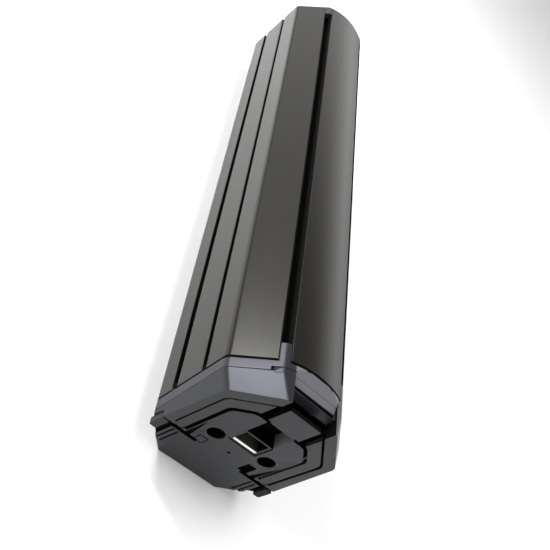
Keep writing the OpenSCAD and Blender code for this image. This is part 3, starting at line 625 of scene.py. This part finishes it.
@dataclass(frozen=True)
class Cell:
    """An 18650 cell along Y, its negative end at the origin.

    Attributes:
        radius_mm: Radius over the wrap.
        length_mm: Length with the button.
        button_mm: Radius of the button.
        rise_mm: Height of the button over the wrap.
        lip_mm: Width of the wrap's lip on both ends.
        sunk_mm: Depth of the ends under the lip.
        crimp_shares: Crimp groove, as distance from the top in millimetres and share of the radius.
        step_mm: Width that a step up or down in an end takes.
        end_mm: Length at each end in which a face inside the lip is bare.
        slack_mm: Reach of the button's own edge, which is bare metal.
        edge_mm: Width of the worked edges.
        edge_steps: Number of faces in each.
        sharp_deg: Least turn of an edge that is worked.
        sides: Number of sides round the cell.
    """

    radius_mm: float = 9.2
    length_mm: float = 65.2
    button_mm: float = 4.3
    rise_mm: float = 0.8
    lip_mm: float = 1.4
    sunk_mm: float = 0.35
    crimp_shares: tuple[tuple[float, float], ...] = ((4.4, 1.0), (3.9, 0.955), (3.4, 0.955), (2.9, 1.0))
    step_mm: float = 0.02
    end_mm: float = 1.0
    slack_mm: float = 0.1
    edge_mm: float = 0.12
    edge_steps: int = 2
    sharp_deg: float = 40.0
    sides: int = 40

    def model(self) -> bpy.types.Object:
        """Models the cell with its wrap, crimp groove, lip and button.

        Returns:
            The cell, with wrap, can and insulator as its materials.
        """
        top = self.length_mm - self.rise_mm
        cell = cone(self.radius_mm, self.radius_mm, 0, top, self.sides)
        bpy.ops.object.mode_set(mode="EDIT")
        for down, share in self.crimp_shares:
            bpy.ops.mesh.select_all(action="SELECT")
            bpy.ops.mesh.bisect(plane_co=(0, (top - down) * MM, 0), plane_no=(0, 1, 0))
            bpy.ops.transform.resize(value=(share, 1, share), center_override=(0, 0, 0))
        sunk_end = ((self.lip_mm, 0), (self.step_mm, self.sunk_mm))
        inner = self.radius_mm - self.lip_mm - self.button_mm
        button = ((inner, 0), (self.step_mm, -self.sunk_mm - self.rise_mm))
        Dish((*sunk_end, *button), lambda at: at.y > top - NEAR_MM).work(cell)
        Dish(sunk_end, lambda at: at.y < NEAR_MM).work(cell)
        bpy.ops.object.mode_set(mode="OBJECT")
        apply_modifier(cell, "BEVEL", width=self.edge_mm * MM, segments=self.edge_steps,
                       limit_method="ANGLE", angle_limit=math.radians(self.sharp_deg))
        for finish in (CELL_WRAP, CAN_STEEL, INSULATOR):
            cell.data.materials.append(finish.material())
        for face in cell.data.polygons:
            face.material_index = self.material_at(face.center / MM)
        return cell

    def material_at(self, at: Vector) -> int:
        """Picks the material of a face.

        Args:
            at: The middle of the face in millimetres.

        Returns:
            0 for the wrap, 1 for the can and its button, 2 for the insulator.
        """
        across = math.hypot(at.x, at.z)
        is_at_top = at.y > self.length_mm - self.rise_mm - self.end_mm
        is_in_lip = across < self.radius_mm - self.lip_mm + NEAR_MM
        if not (is_in_lip and (is_at_top or at.y < self.end_mm)):
            return 0
        return 2 if is_at_top and across > self.button_mm + self.slack_mm else 1


@dataclass(frozen=True)
class Screw:
    """A pan-head screw, the seat of its head at the origin and its thread along Y.

    Attributes:
        head_mm: Radius of the head.
        head_h_mm: Height of the head.
        dome_mm: Height and inset of its domed top.
        shaft_mm: Radius over the thread.
        root_mm: Radius at the foot of the thread.
        neck_mm: Length of the plain neck under the head.
        pitch_mm: Pitch of the thread.
        drive_mm: Radius of the hexagon drive, over its corners.
        drive_d_mm: Depth of the drive.
        drive_sides: Number of its sides.
        over_mm: Reach of the drive's cutter past the head.
        edge_mm: Width of the worked edges.
        edge_steps: Number of faces in each.
        sharp_deg: Least turn of an edge that is worked.
    """

    head_mm: float = 2.75
    head_h_mm: float = 1.9
    dome_mm: float = 0.8
    shaft_mm: float = 1.5
    root_mm: float = 1.2
    neck_mm: float = 1.0
    pitch_mm: float = 0.5
    drive_mm: float = 1.2
    drive_d_mm: float = 1.0
    drive_sides: int = 6
    over_mm: float = 1.0
    edge_mm: float = 0.25
    edge_steps: int = 3
    sharp_deg: float = 30.0

    def model(self, length_mm: float) -> bpy.types.Object:
        """Models the screw with domed head, hexagon drive and thread.

        Args:
            length_mm: Length under the head.

        Returns:
            The screw.
        """
        top = -self.head_h_mm
        drive = cone(self.drive_mm, self.drive_mm, top - self.over_mm, top + self.drive_d_mm,
                     self.drive_sides)
        head = cone(self.head_mm - self.dome_mm, self.head_mm, top, top + self.dome_mm)
        brim = cone(self.head_mm, self.head_mm, top + self.dome_mm, 0)
        head = join(brim, head)
        select_only(head)
        bpy.ops.object.mode_set(mode="EDIT")
        bpy.ops.mesh.select_all(action="SELECT")
        bpy.ops.mesh.remove_doubles(threshold=TINY)
        bpy.ops.mesh.select_all(action="SELECT")
        bpy.ops.mesh.delete_loose()
        bpy.ops.object.mode_set(mode="OBJECT")
        apply_modifier(head, "BEVEL", width=self.edge_mm * MM, segments=self.edge_steps,
                       limit_method="ANGLE", angle_limit=math.radians(self.sharp_deg))
        apply_modifier(head, "BOOLEAN", operation="DIFFERENCE", object=drive, solver="EXACT")
        bpy.data.objects.remove(drive)
        half = self.pitch_mm / 2
        neck = cone(self.shaft_mm, self.shaft_mm, 0, self.neck_mm)
        rise = cone(self.root_mm, self.shaft_mm, self.neck_mm, self.neck_mm + half)
        fall = cone(self.shaft_mm, self.root_mm, self.neck_mm + half, self.neck_mm + self.pitch_mm)
        thread = join(rise, fall)
        turns = int((length_mm - self.neck_mm - self.pitch_mm) / self.pitch_mm)
        apply_modifier(thread, "ARRAY", count=turns, use_relative_offset=False,
                       use_constant_offset=True, constant_offset_displace=(0, self.pitch_mm * MM, 0))
        tip = cone(self.root_mm, self.root_mm / 2, self.neck_mm + turns * self.pitch_mm, length_mm)
        return join(neck, thread, tip, head)


@dataclass(frozen=True)
class Rounding:
    """A rounding of some of a piece's edges.

    Attributes:
        width_mm: Width of the rounding on each face.
        steps: Number of faces in it.
        holds: Says if a point in millimetres lies on such an edge.
    """

    width_mm: float
    steps: int
    holds: Callable[[Vector], bool]


@dataclass
class SubAssembly:
    """A group of pieces that are built and dressed together.

    Attributes:
        body: Name of the body that carries the pieces.
        edge_mm: Width of the worked edges.
        sharp_deg: Least turn of an edge that is worked.
        smooth_deg: Largest turn that is shaded smooth.
        short_mm: Length up to which edges are left as they are, such as those of small holes.
        edge_steps: Number of faces in a worked edge.
        pieces: The pieces made so far.
    """

    body: str = "case"
    edge_mm: float = 0.25
    sharp_deg: float = 35.0
    smooth_deg: float = 32.0
    short_mm: float = 0.0
    edge_steps: int = 2
    pieces: list[bpy.types.Object] = field(default_factory=list)

    def build(self) -> None:
        """Builds and dresses the pieces. Each sub-assembly has its own way."""
        raise NotImplementedError

    def keep(self, piece: bpy.types.Object, finish: Finish | None) -> bpy.types.Object:
        """Dresses a new piece and puts it on its body.

        Args:
            piece: The finished mesh.
            finish: Its material, or None where the mesh has its materials.

        Returns:
            The piece.
        """
        if finish:
            piece.data.materials.clear()
            piece.data.materials.append(finish.material())
        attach(piece, self.body)
        self.pieces.append(piece)
        LOG.info("%s: %s, %d faces", type(self).__name__, piece.name, len(piece.data.polygons))
        return piece

    def dress(self, node: str, finish: Finish) -> None:
        """Gives a node that stays as it is its finish.

        Args:
            node: The node.
            finish: Its material.
        """
        node_object = frame["nodes"][node]
        node_object.data.materials.clear()
        node_object.data.materials.append(finish.material())
        LOG.info("%s: %s dressed", type(self).__name__, node)

    def take_over(
        self, node: str, finish: Finish, slot: str, edge_mm: float | None = None,
        roundings: tuple[Rounding, ...] = (), dishes: tuple[Dish, ...] = (),
        cut_mm: float | None = None, cutters: Iterable[bpy.types.Object] = (),
    ) -> bpy.types.Object:
        """Copies a node, works its edges and lets the copy stand for it.

        Args:
            node: The node.
            finish: Its material.
            slot: The record's material slot; not used.
            edge_mm: Width of the worked edges, or None for the assembly's own.
            roundings: Wider roundings, worked before the rest.
            dishes: Dishes, worked after the edges.
            cut_mm: Where a line is cut across the flat faces, along the case.
            cutters: Forms that are cut out of the piece and then removed.

        Returns:
            The piece that stands for the node.
        """
        piece = bpy.data.objects.new(f"{node}_finished", frame["nodes"][node].data.copy())
        bpy.context.scene.collection.objects.link(piece)
        select_only(piece)
        bpy.ops.mesh.customdata_custom_splitnormals_clear()
        bpy.ops.object.mode_set(mode="EDIT")
        bpy.ops.mesh.select_all(action="SELECT")
        bpy.ops.mesh.remove_doubles(threshold=TINY)
        bpy.ops.mesh.mark_sharp(clear=True)
        bpy.ops.mesh.dissolve_limited(angle_limit=math.radians(FLAT_DEG))
        if cut_mm is not None:
            bpy.ops.mesh.select_all(action="SELECT")
            bpy.ops.mesh.bisect(plane_co=(0, cut_mm * MM, 0), plane_no=(0, 1, 0))
            bpy.ops.mesh.mark_seam()
            bpy.ops.mesh.select_all(action="SELECT")
        bpy.ops.mesh.quads_convert_to_tris(quad_method="BEAUTY", ngon_method="BEAUTY")
        everywhere = Rounding(edge_mm or self.edge_mm, self.edge_steps, lambda at: True)
        for rounding in (*roundings, everywhere):
            self.work_edges(piece, rounding)
        bpy.ops.mesh.select_all(action="SELECT")
        bpy.ops.mesh.dissolve_limited(angle_limit=math.radians(FLAT_DEG), delimit={"SEAM"})
        for dish in dishes:
            dish.work(piece)
        bpy.ops.object.mode_set(mode="OBJECT")
        for cutter in cutters:
            apply_modifier(piece, "BOOLEAN", operation="DIFFERENCE", object=cutter, solver="EXACT")
            bpy.data.objects.remove(cutter)
        hold_inside(piece, node)
        select_only(piece)
        bpy.ops.object.shade_smooth_by_angle(angle=math.radians(self.smooth_deg))
        apply_modifier(piece, "WEIGHTED_NORMAL", keep_sharp=True)
        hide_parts(node)
        return self.keep(piece, finish)

    def put(self, node: str, patterns: list[tuple[bpy.types.Object, Vector]], outward: bool,
            finish: Finish | None, slot: str) -> bpy.types.Object:
        """Copies models to their places and lets them stand for a node.

        Args:
            node: The node.
            patterns: Each copy's model, and its place in millimetres.
            outward: Whether the models are turned to look to the far end.
            finish: Their material, or None where they have their own.
            slot: The record's material slot; not used.

        Returns:
            The copies as one piece.
        """
        turn = Matrix.Rotation(math.pi if outward else 0, 4, "Z")
        copies = []
        for pattern, place in patterns:
            copy = bpy.data.objects.new(f"{node}_finished", pattern.data.copy())
            copy.data.transform(Matrix.Translation(place * MM) @ turn)
            bpy.context.scene.collection.objects.link(copy)
            copies.append(copy)
        piece = join(*copies)
        bpy.ops.object.shade_smooth_by_angle(angle=math.radians(self.smooth_deg))
        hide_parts(node)
        return self.keep(piece, finish)

    def put_screws(self, node: str, outward: bool) -> None:
        """Models the screws of a node, each at its own length.

        Args:
            node: The node.
            outward: Whether their heads look to the far end.
        """
        screw, patterns = Screw(), []
        for low, high in part_boxes(node):
            model = screw.model(high.y - low.y - screw.head_h_mm)
            seat = high.y - screw.head_h_mm if outward else low.y + screw.head_h_mm
            patterns.append((model, Vector(((low.x + high.x) / 2, seat, (low.z + high.z) / 2))))
        self.put(node, patterns, outward, SCREW_STEEL, "screw_steel")
        for model, _ in patterns:
            bpy.data.objects.remove(model)

    def work_edges(self, piece: bpy.types.Object, rounding: Rounding) -> None:
        """Rounds the sharp edges of a piece in edit mode that have room for it.

        Args:
            piece: The piece.
            rounding: The rounding and where it goes.
        """
        bpy.ops.mesh.select_all(action="DESELECT")
        width = rounding.width_mm * MM
        shape = bmesh.from_edit_mesh(piece.data)
        for edge in shape.edges:
            is_long = edge.calc_length() > self.short_mm * MM
            if is_long and all(rounding.holds(v.co / MM) for v in edge.verts):
                edge.select_set(has_room(edge, width, math.radians(self.sharp_deg)))
        bmesh.update_edit_mesh(piece.data)
        bpy.ops.mesh.bevel(offset=width, segments=rounding.steps, profile=0.5, clamp_overlap=False)

    def shade_faces(self, piece: bpy.types.Object, finish: Finish,
                    holds: Callable[[Vector], bool]) -> None:
        """Gives some faces of a piece, such as those of its recesses, their own finish.

        Args:
            piece: The piece.
            finish: The finish of these faces.
            holds: Says if the middle of a face, in millimetres, is one of them.
        """
        piece.data.materials.append(finish.material())
        for face in piece.data.polygons:
            if holds(face.center / MM):
                face.material_index = len(piece.data.materials) - 1


@dataclass
class Case(SubAssembly):
    """The extruded case.

    Attributes:
        half_w_mm: Half width over the side walls.
        groove_zs_mm: Heights of the side grooves.
        groove_w_mm: Width of a side groove.
        groove_d_mm: Depth of a side groove.
        lip_mm: Width of the chamfer on a groove's lips.
        slot_mm: Where a rail slot's mouth starts and ends, from the middle.
        slot_floor_mm: Height of the slot's floor.
        slot_lip_mm: Height of its outer lip.
        slot_reach_mm: Reach towards the middle in which its undercut lies.
        rib_mm: Height of the ribs on its floor.
        end_mm: Where the case ends at the connector.
        end_lip_mm: Width of the line at that end that is painted dark as a shadow.
    """

    edge_mm: float = 0.2
    half_w_mm: float = HALF_W_MM
    groove_zs_mm: tuple[float, float] = (29.0, 48.3)
    groove_w_mm: float = 2.4
    groove_d_mm: float = 3.0
    lip_mm: float = 0.7
    slot_mm: tuple[float, float] = (15.2, 19.8)
    slot_floor_mm: float = 74.4
    slot_lip_mm: float = 77.9
    slot_reach_mm: float = 3.5
    rib_mm: float = 0.6
    end_mm: float = CASE_END_MM
    end_lip_mm: float = 0.62

    def build(self) -> None:
        """Builds and dresses the case."""
        lips = Rounding(self.lip_mm, 1, self.is_lip)
        case = self.take_over("case_extrusion", CASE_METAL, "case_metal", roundings=(lips,),
                              cut_mm=self.end_mm + self.end_lip_mm)
        # Painted shade: faces in the grooves and slots and the line at the connector end are painted
        # near black.
        self.shade_faces(case, SHADE_PAINTED_METAL, self.is_sunk)

    def is_lip(self, at: Vector) -> bool:
        """Says if a point in millimetres lies on the lip of a groove."""
        near_groove = any(abs(at.z - z) < self.groove_w_mm / 2 + NEAR_MM for z in self.groove_zs_mm)
        return abs(at.x) > self.half_w_mm - NEAR_MM and near_groove

    def is_sunk(self, at: Vector) -> bool:
        """Says if a place lies in a groove or a slot of the case.

        Args:
            at: The place in millimetres.

        Returns:
            True inside a groove or slot and on the line at the end, all painted near black as shade,
            but not on the ribs of the slot.
        """
        if at.y < self.end_mm + self.end_lip_mm:
            return True
        across = abs(at.x)
        if self.half_w_mm - self.groove_d_mm - self.lip_mm < across < self.half_w_mm - self.lip_mm / 4:
            reach = self.groove_w_mm / 2 + self.lip_mm
            return any(abs(at.z - z) < reach for z in self.groove_zs_mm)
        low, high = self.slot_mm
        if not low - self.slot_reach_mm < across < high + self.rib_mm:
            return False
        floor, rib_top = self.slot_floor_mm, self.slot_floor_mm + self.rib_mm
        is_between = floor - self.rib_mm / 4 < at.z < self.slot_lip_mm - self.rib_mm
        return is_between and abs(at.z - rib_top) > NEAR_MM


@dataclass
class ConnectorEnd(SubAssembly):
    """Collar, cap and everything let into the raked face.

    Attributes:
        cap_edge_mm: Width of the cap's and the bumpers' worked edges.
        bar_edge_mm: Width of the contact bar's worked edges.
        case_end_mm: Where the case ends.
        face_foot_mm: Reach of the face past the case at the base.
        face_rake_deg: Rake of the face.
        half_w_mm: Half width over the side walls.
        shoulder_mm: Distance across and height, added up, of any point on the shoulder.
        rim_mm: Width of the rim round the face's recesses.
        recess_mm: Depth of the shallow recesses.
        deep_mm: Depth under the face from which holes are painted near black as shade.
        joint_mm: Line on the collar at its joint with the case, painted dark as a shadow, as distances
            from the case's end.
        key_x_mm: Where the keys in the side grooves start, from the middle.
        key_top_mm: Height that both keys stay under.
        scoop_mm: Where the scoop's flank that is painted light is, from the middle.
        scoop_zs_mm: Heights between which the flank is painted light.
        bar_mm: Half width of the crown bar.
        bar_z_mm: Height over which a face belongs to the bar.
        slope_mm: Where the bar's slope that is painted light starts and ends, along the case.
        foot_mm: Where the foot of that slope, painted dark as shade, starts.
        pocket_mm: Half width, lower and upper height of the pocket under the bar.
    """

    cap_edge_mm: float = 0.3
    bar_edge_mm: float = 0.12
    case_end_mm: float = CASE_END_MM
    face_foot_mm: float = 8.4
    face_rake_deg: float = 8.5
    half_w_mm: float = HALF_W_MM
    shoulder_mm: float = 97.7
    rim_mm: float = 4.0
    recess_mm: float = 0.5
    deep_mm: float = 1.0
    joint_mm: tuple[float, float] = (0.61, 0.85)
    key_x_mm: float = 33.5
    key_top_mm: float = 52.0
    scoop_mm: float = 8.0
    scoop_zs_mm: tuple[float, float] = (49.8, 62.5)
    bar_mm: float = 12.5
    bar_z_mm: float = 78.6
    slope_mm: tuple[float, float] = (-185.3, -177.3)
    foot_mm: float = -189.0
    pocket_mm: tuple[float, float, float] = (13.0, 60.0, 76.5)

    def build(self) -> None:
        """Builds and dresses the connector end."""
        collar = self.take_over("connector_collar", COLLAR_PLASTIC, "collar_plastic",
                                cut_mm=self.slope_mm[0])
        # Painted highlight: the crown bar's slope is painted pale.
        self.shade_faces(collar, LIGHT_PAINTED_PLASTIC, self.is_painted_light_slope)
        # Painted shade: keys, joint line, the slope's foot and the pocket are painted near black.
        self.shade_faces(collar, SHADE_PAINTED_METAL, self.is_painted_shade)
        cap = self.take_over("connector_cap", CAP_PLASTIC, "cap_plastic", self.cap_edge_mm)
        # Painted shade: the face's recesses are painted near black.
        self.shade_faces(cap, SHADE_PAINTED_PLASTIC, self.is_sunk)
        # Painted light: the scoop's flank is painted pale.
        self.shade_faces(cap, LIGHT_PAINTED_PLASTIC, self.is_painted_light_flank)
        # The left bumper's rubber is painted paler, as a lit copy of the right one's.
        for side, rubber in (("left", LIGHT_PAINTED_RUBBER), ("right", BUMPER_RUBBER)):
            self.take_over(f"trim_band_{side}", TRIM_PLASTIC, "trim_plastic")
            sleeve = self.take_over(f"guide_sleeve_{side}", SLEEVE_PLASTIC, "sleeve_plastic")
            # Painted shade deep in the guide sleeve.
            self.shade_faces(sleeve, SHADE_PAINTED_PLASTIC, self.is_deep)
            self.take_over(f"bumper_{side}", rubber, "bumper_rubber", self.cap_edge_mm)
        housing = self.take_over("socket_housing", SOCKET_PLASTIC, "socket_plastic")
        # Painted shade deep in the socket.
        self.shade_faces(housing, SHADE_PAINTED_PLASTIC, self.is_deep)
        self.take_over("contact_bar", CONTACT_SILVER, "contact_silver", self.bar_edge_mm)
        self.take_over("lock_strike", STRIKE_STEEL, "strike_steel")
        self.dress("connector_gasket", SEAL_RUBBER)
        self.put_screws("collar_screws", False)
        self.put_screws("cap_screws", False)
        # The power blades and signal pins are painted dark grey as shade in the socket.
        self.dress("power_blades", SHADE_PAINTED_TIN)
        self.dress("signal_pins", SHADE_PAINTED_TIN)
        self.dress("status_lens", LENS_PLASTIC)

    def depth(self, at: Vector) -> float:
        """Depth of a point in millimetres under the raked face, along the case."""
        raked = at.z * math.tan(math.radians(self.face_rake_deg))
        return at.y - self.case_end_mm + self.face_foot_mm + raked

    def is_deep(self, at: Vector) -> bool:
        """Says if a point in millimetres lies deep in a hole of the face."""
        return self.depth(at) > self.deep_mm

    def is_painted_shade(self, at: Vector) -> bool:
        """Says if a place lies on a part of the collar that is painted dark as shade.

        Args:
            at: The place in millimetres.

        Returns:
            True for the keys in the side grooves, the joint with the case, the foot of the
            crown bar's slope and the pocket under the bar, all painted near black as shade.
        """
        if at.y > self.case_end_mm + NEAR_MM:
            return abs(at.x) > self.key_x_mm and at.z < self.key_top_mm
        near, far = self.joint_mm
        if self.case_end_mm - far < at.y < self.case_end_mm - near:
            return True
        if abs(at.x) < self.bar_mm - NEAR_MM and self.foot_mm < at.y < self.slope_mm[0]:
            return at.z > self.bar_z_mm
        half, low, high = self.pocket_mm
        return abs(at.x) < half and low < at.z < high

    def is_painted_light_slope(self, at: Vector) -> bool:
        """Says if a point in millimetres lies on the crown bar's slope, which is painted light as a
        highlight.
        """
        start, end = self.slope_mm
        is_on_bar = abs(at.x) < self.bar_mm - NEAR_MM and at.z > self.bar_z_mm
        return is_on_bar and start < at.y < end

    def is_painted_light_flank(self, at: Vector) -> bool:
        """Says if a point in millimetres lies on the scoop's flank, which is painted light."""
        low, high = self.scoop_zs_mm
        is_rubbed = abs(at.x - self.scoop_mm) < NEAR_MM and low < at.z < high
        return is_rubbed and self.depth(at) > self.recess_mm

    def is_sunk(self, at: Vector) -> bool:
        """Says if a place lies in a recess of the face.

        Args:
            at: The place in millimetres.

        Returns:
            True for a place under the face and well inside its rim.
        """
        across = abs(at.x)
        is_inside = across < self.half_w_mm - self.rim_mm and at.z > self.rim_mm
        is_under = across + at.z < self.shoulder_mm - math.sqrt(2) * self.rim_mm
        return is_inside and is_under and self.depth(at) > self.recess_mm


@dataclass
class Electronics(SubAssembly):
    """The battery management board and what is soldered to it."""

    def build(self) -> None:
        """Dresses the board and its parts."""
        self.dress("bms_board", BOARD)
        self.dress("bms_mosfets", CHIP_PLASTIC)
        self.dress("bms_heat_plate", HEAT_PLATE)
        self.dress("main_fuse", FUSE_BODY)
        self.dress("thermistor", CHIP_PLASTIC)


@dataclass
class CellPack(SubAssembly):
    """Cells, holders, strips and leads.

    Attributes:
        groups: Number of cell groups, with a holder and strips on both sides of each.
    """

    groups: int = 5

    def build(self) -> None:
        """Dresses the pack, group by group."""
        cell = Cell().model()
        for group in range(1, self.groups + 1):
            places = [(cell, Vector(((low.x + high.x) / 2, low.y, (low.z + high.z) / 2)))
                      for low, high in part_boxes(f"cells_{group}")]
            self.put(f"cells_{group}", places, False, None, "cell_wrap")
        bpy.data.objects.remove(cell)
        for side in range(1, self.groups + 2):
            self.dress(f"cell_holder_{side}", HOLDER_PLASTIC)
            self.dress(f"bus_strips_{side}", NICKEL_STRIP)
        self.dress("positive_lead", LEAD_RED)
        self.dress("negative_lead", LEAD_BLACK)
        self.dress("sense_harness", RIBBON)
        self.dress("side_pads", FOAM)


@dataclass
class FarEnd(SubAssembly):
    """The far cap with its port, lenses and vent.

    Attributes:
        front_mm: Where the lenses' fronts begin, along the case.
        dome_mm: Inset and depth of the rings that dome a lens.
        vent_edge_mm: Width of the vent's worked edges.
        lens_edge_mm: Width of the lenses' worked edges.
    """

    edge_mm: float = 0.3
    short_mm: float = 0.7
    front_mm: float = 196.5
    dome_mm: tuple[tuple[float, float], ...] = ((0.3, -0.14), (0.3, -0.08))
    vent_edge_mm: float = 0.12
    lens_edge_mm: float = 0.15

    def build(self) -> None:
        """Builds and dresses the far end."""
        self.take_over("far_cap", FAR_PLASTIC, "far_plastic")
        self.take_over("charge_port", SOCKET_PLASTIC, "socket_plastic")
        self.take_over("vent_plug", VENT_MEMBRANE, "vent_membrane", self.vent_edge_mm)
        domes = Dish(self.dome_mm, lambda at: at.y > self.front_mm)
        self.take_over("level_lenses", LENS_PLASTIC, "lens_plastic", self.lens_edge_mm, dishes=(domes,))
        self.dress("far_gasket", SEAL_RUBBER)
        self.put_screws("far_screws", True)
        self.dress("charge_contacts", CONTACT_BRASS)
        self.dress("indicator_board", BOARD)
        self.dress("flap_pin", PIN_STEEL)


@dataclass
class PowerButton(SubAssembly):
    """The button, with the spring and switch behind it.

    Attributes:
        front_mm: Where the button's front begins, along the case.
        dish_mm: Inset and depth of the rings that dish the front for a finger.
    """

    body: str = "button"
    edge_mm: float = 0.4
    front_mm: float = 196.5
    dish_mm: tuple[tuple[float, float], ...] = ((0.9, 0.0), (0.6, 0.6), (1.6, 0.15), (1.8, 0.1))

    def build(self) -> None:
        """Builds and dresses the button."""
        dish = Dish(self.dish_mm, lambda at: at.y > self.front_mm)
        self.take_over("power_button", BUTTON_RUBBER, "button_rubber", dishes=(dish,))
        self.dress("button_spring", SPRING_STEEL)
        self.dress("button_switch", CHIP_PLASTIC)


@dataclass
class PortFlap(SubAssembly):
    """The flap over the charge port.

    Attributes:
        grip_half_mm: Half length of a grip groove.
        grip_ys_mm: Where a groove's cutter starts and ends, along the case.
        grip_zs_mm: Heights of the grooves' lower edges.
        grip_w_mm: Width of a groove.
    """

    body: str = "flap"
    edge_mm: float = 0.4
    grip_half_mm: float = 9.0
    grip_ys_mm: tuple[float, float] = (196.3, 197.3)
    grip_zs_mm: tuple[float, ...] = (41.4, 39.6, 37.8, 36.0)
    grip_w_mm: float = 0.9

    def build(self) -> None:
        """Builds and dresses the flap."""
        floor, over = self.grip_ys_mm
        grips = [
            block(Vector((-self.grip_half_mm, floor, z)),
                  Vector((self.grip_half_mm, over, z + self.grip_w_mm)))
            for z in self.grip_zs_mm
        ]
        self.take_over("port_flap", FLAP_RUBBER, "flap_rubber", cutters=grips)


@dataclass(frozen=True)
class Lamp:
    """A square soft light that points at the part.

    Attributes:
        name: Name of the light.
        place_mm: Its place.
        side_mm: Length of its sides.
        watts: Its power.
        mirrored: Whether shiny surfaces mirror it.
    """

    name: str
    place_mm: tuple[float, float, float]
    side_mm: float
    watts: float
    mirrored: bool = False

    def hang(self) -> None:
        """Adds the light to the scene."""
        place = Vector(self.place_mm) * MM
        bpy.ops.object.light_add(type="AREA", location=place)
        light = bpy.context.object
        light.name = self.name
        light.data.size = self.side_mm * MM
        light.data.energy = self.watts
        light.visible_glossy = self.mirrored
        light.rotation_euler = (-place).to_track_quat("-Z", "Y").to_euler()


@dataclass
class Studio:
    """Floor, light and camera.

    Attributes:
        floor_m: Side of the floor.
        floor_colour: Colour of the floor.
        floor_rough: Roughness of the floor.
        floor_glow: Light that the floor gives off, which lifts it to a clean white.
        wall_glow: Light of the walls at their brightest height.
        wall_shares: Share of that light at each height, from straight down to straight up.
        slant: How much brighter the right wall is than the middle, as a share.
        lamps: The soft lights.
        camera_mm: Place of the camera.
        target_mm: Point that the middle of the picture shows.
        roll_deg: Turn of the camera about its own line of sight.
        lens_mm: Focal length.
        sensor_mm: Width of the sensor.
        near_m: Distance from which the camera sees.
    """

    floor_m: float = 12.0
    floor_colour: str = "#fafafa"
    floor_rough: float = 0.9
    floor_glow: float = 0.05
    wall_glow: float = 1.38
    wall_shares: tuple[tuple[float, float], ...] = (
        (0.06, 0.36), (0.2, 0.98), (0.37, 0.98), (0.5, 0.7), (0.58, 0.34), (0.68, 0.14), (1.0, 0.1))
    slant: float = 0.36
    lamps: tuple[Lamp, ...] = (
        Lamp("key", (-865.0, 540.0, 775.0), 290.0, 13.0, mirrored=True),
        Lamp("top", (100.0, 0.0, 1500.0), 900.0, 14.0),
        Lamp("fill", (-1100.0, -150.0, 650.0), 700.0, 6.0),
    )
    camera_mm: tuple[float, float, float] = (-179.76, -409.63, 265.32)
    target_mm: tuple[float, float, float] = (9.44, -60.0, 30.87)
    roll_deg: float = 55.66
    lens_mm: float = 53.48
    sensor_mm: float = 36.0
    near_m: float = 0.01

    def build(self) -> None:
        """Sets the studio up round the finished part."""
        self.floor()
        self.walls()
        for lamp in self.lamps:
            lamp.hang()
        self.camera()
        bpy.context.scene.view_settings.view_transform = "Standard"

    def floor(self) -> None:
        """Adds the plain pale floor under the part."""
        select_only()
        bpy.ops.mesh.primitive_plane_add(size=self.floor_m)
        ground = bpy.context.object
        ground.name = "floor"
        paint = bpy.data.materials.new("studio_paper")
        paint.use_nodes = True
        shader = paint.node_tree.nodes["Principled BSDF"]
        shader.inputs["Base Color"].default_value = linear(self.floor_colour)
        shader.inputs["Roughness"].default_value = self.floor_rough
        shader.inputs["Emission Color"].default_value = linear("#ffffff")
        shader.inputs["Emission Strength"].default_value = self.floor_glow
        ground.data.materials.append(paint)

    def walls(self) -> None:
        """Puts a room with bright walls and a dark ceiling round the part."""
        world = bpy.data.worlds.new("studio")
        bpy.context.scene.world = world
        world.use_nodes = True
        tree = world.node_tree
        way = add_node(tree, "ShaderNodeTexCoord").outputs["Generated"]
        parts = add_node(tree, "ShaderNodeSeparateXYZ", {}, {0: way})
        ramp = add_node(tree, "ShaderNodeValToRGB", {}, {0: parts.outputs["Z"]})
        ramp.color_ramp.interpolation = "EASE"
        stops = ramp.color_ramp.elements
        while len(stops) < len(self.wall_shares):
            stops.new(1.0)
        for stop, (height, share) in zip(stops, self.wall_shares):
            stop.position, stop.color = height, (share, share, share, 1.0)
        side = add_node(tree, "ShaderNodeMapRange", {
            "From Min": -1.0, "To Min": self.wall_glow * (1 - self.slant),
            "To Max": self.wall_glow * (1 + self.slant),
        }, {"Value": parts.outputs["X"]})
        both = add_node(tree, "ShaderNodeMath", {"operation": "MULTIPLY"},
                        {0: ramp.outputs[0], 1: side.outputs[0]})
        tree.links.new(both.outputs[0], tree.nodes["Background"].inputs["Strength"])
        tree.nodes["Background"].inputs["Color"].default_value = linear("#ffffff")

    def camera(self) -> None:
        """Adds the camera at the photograph's angle."""
        place, target = Vector(self.camera_mm) * MM, Vector(self.target_mm) * MM
        roll = Quaternion((0, 0, 1), math.radians(self.roll_deg))
        turn = (target - place).to_track_quat("-Z", "Y") @ roll
        bpy.ops.object.camera_add(location=place, rotation=turn.to_euler())
        view = bpy.context.object
        view.data.lens = self.lens_mm
        view.data.sensor_width = self.sensor_mm
        view.data.clip_start = self.near_m
        bpy.context.scene.camera = view


def main() -> None:
    logging.basicConfig(level=logging.INFO, format="%(message)s")
    assemblies = (Case(), ConnectorEnd(), Electronics(), CellPack(), FarEnd(), PowerButton(), PortFlap())
    for assembly in assemblies:
        assembly.build()
    Studio().build()


if __name__ == "__main__":
    main()
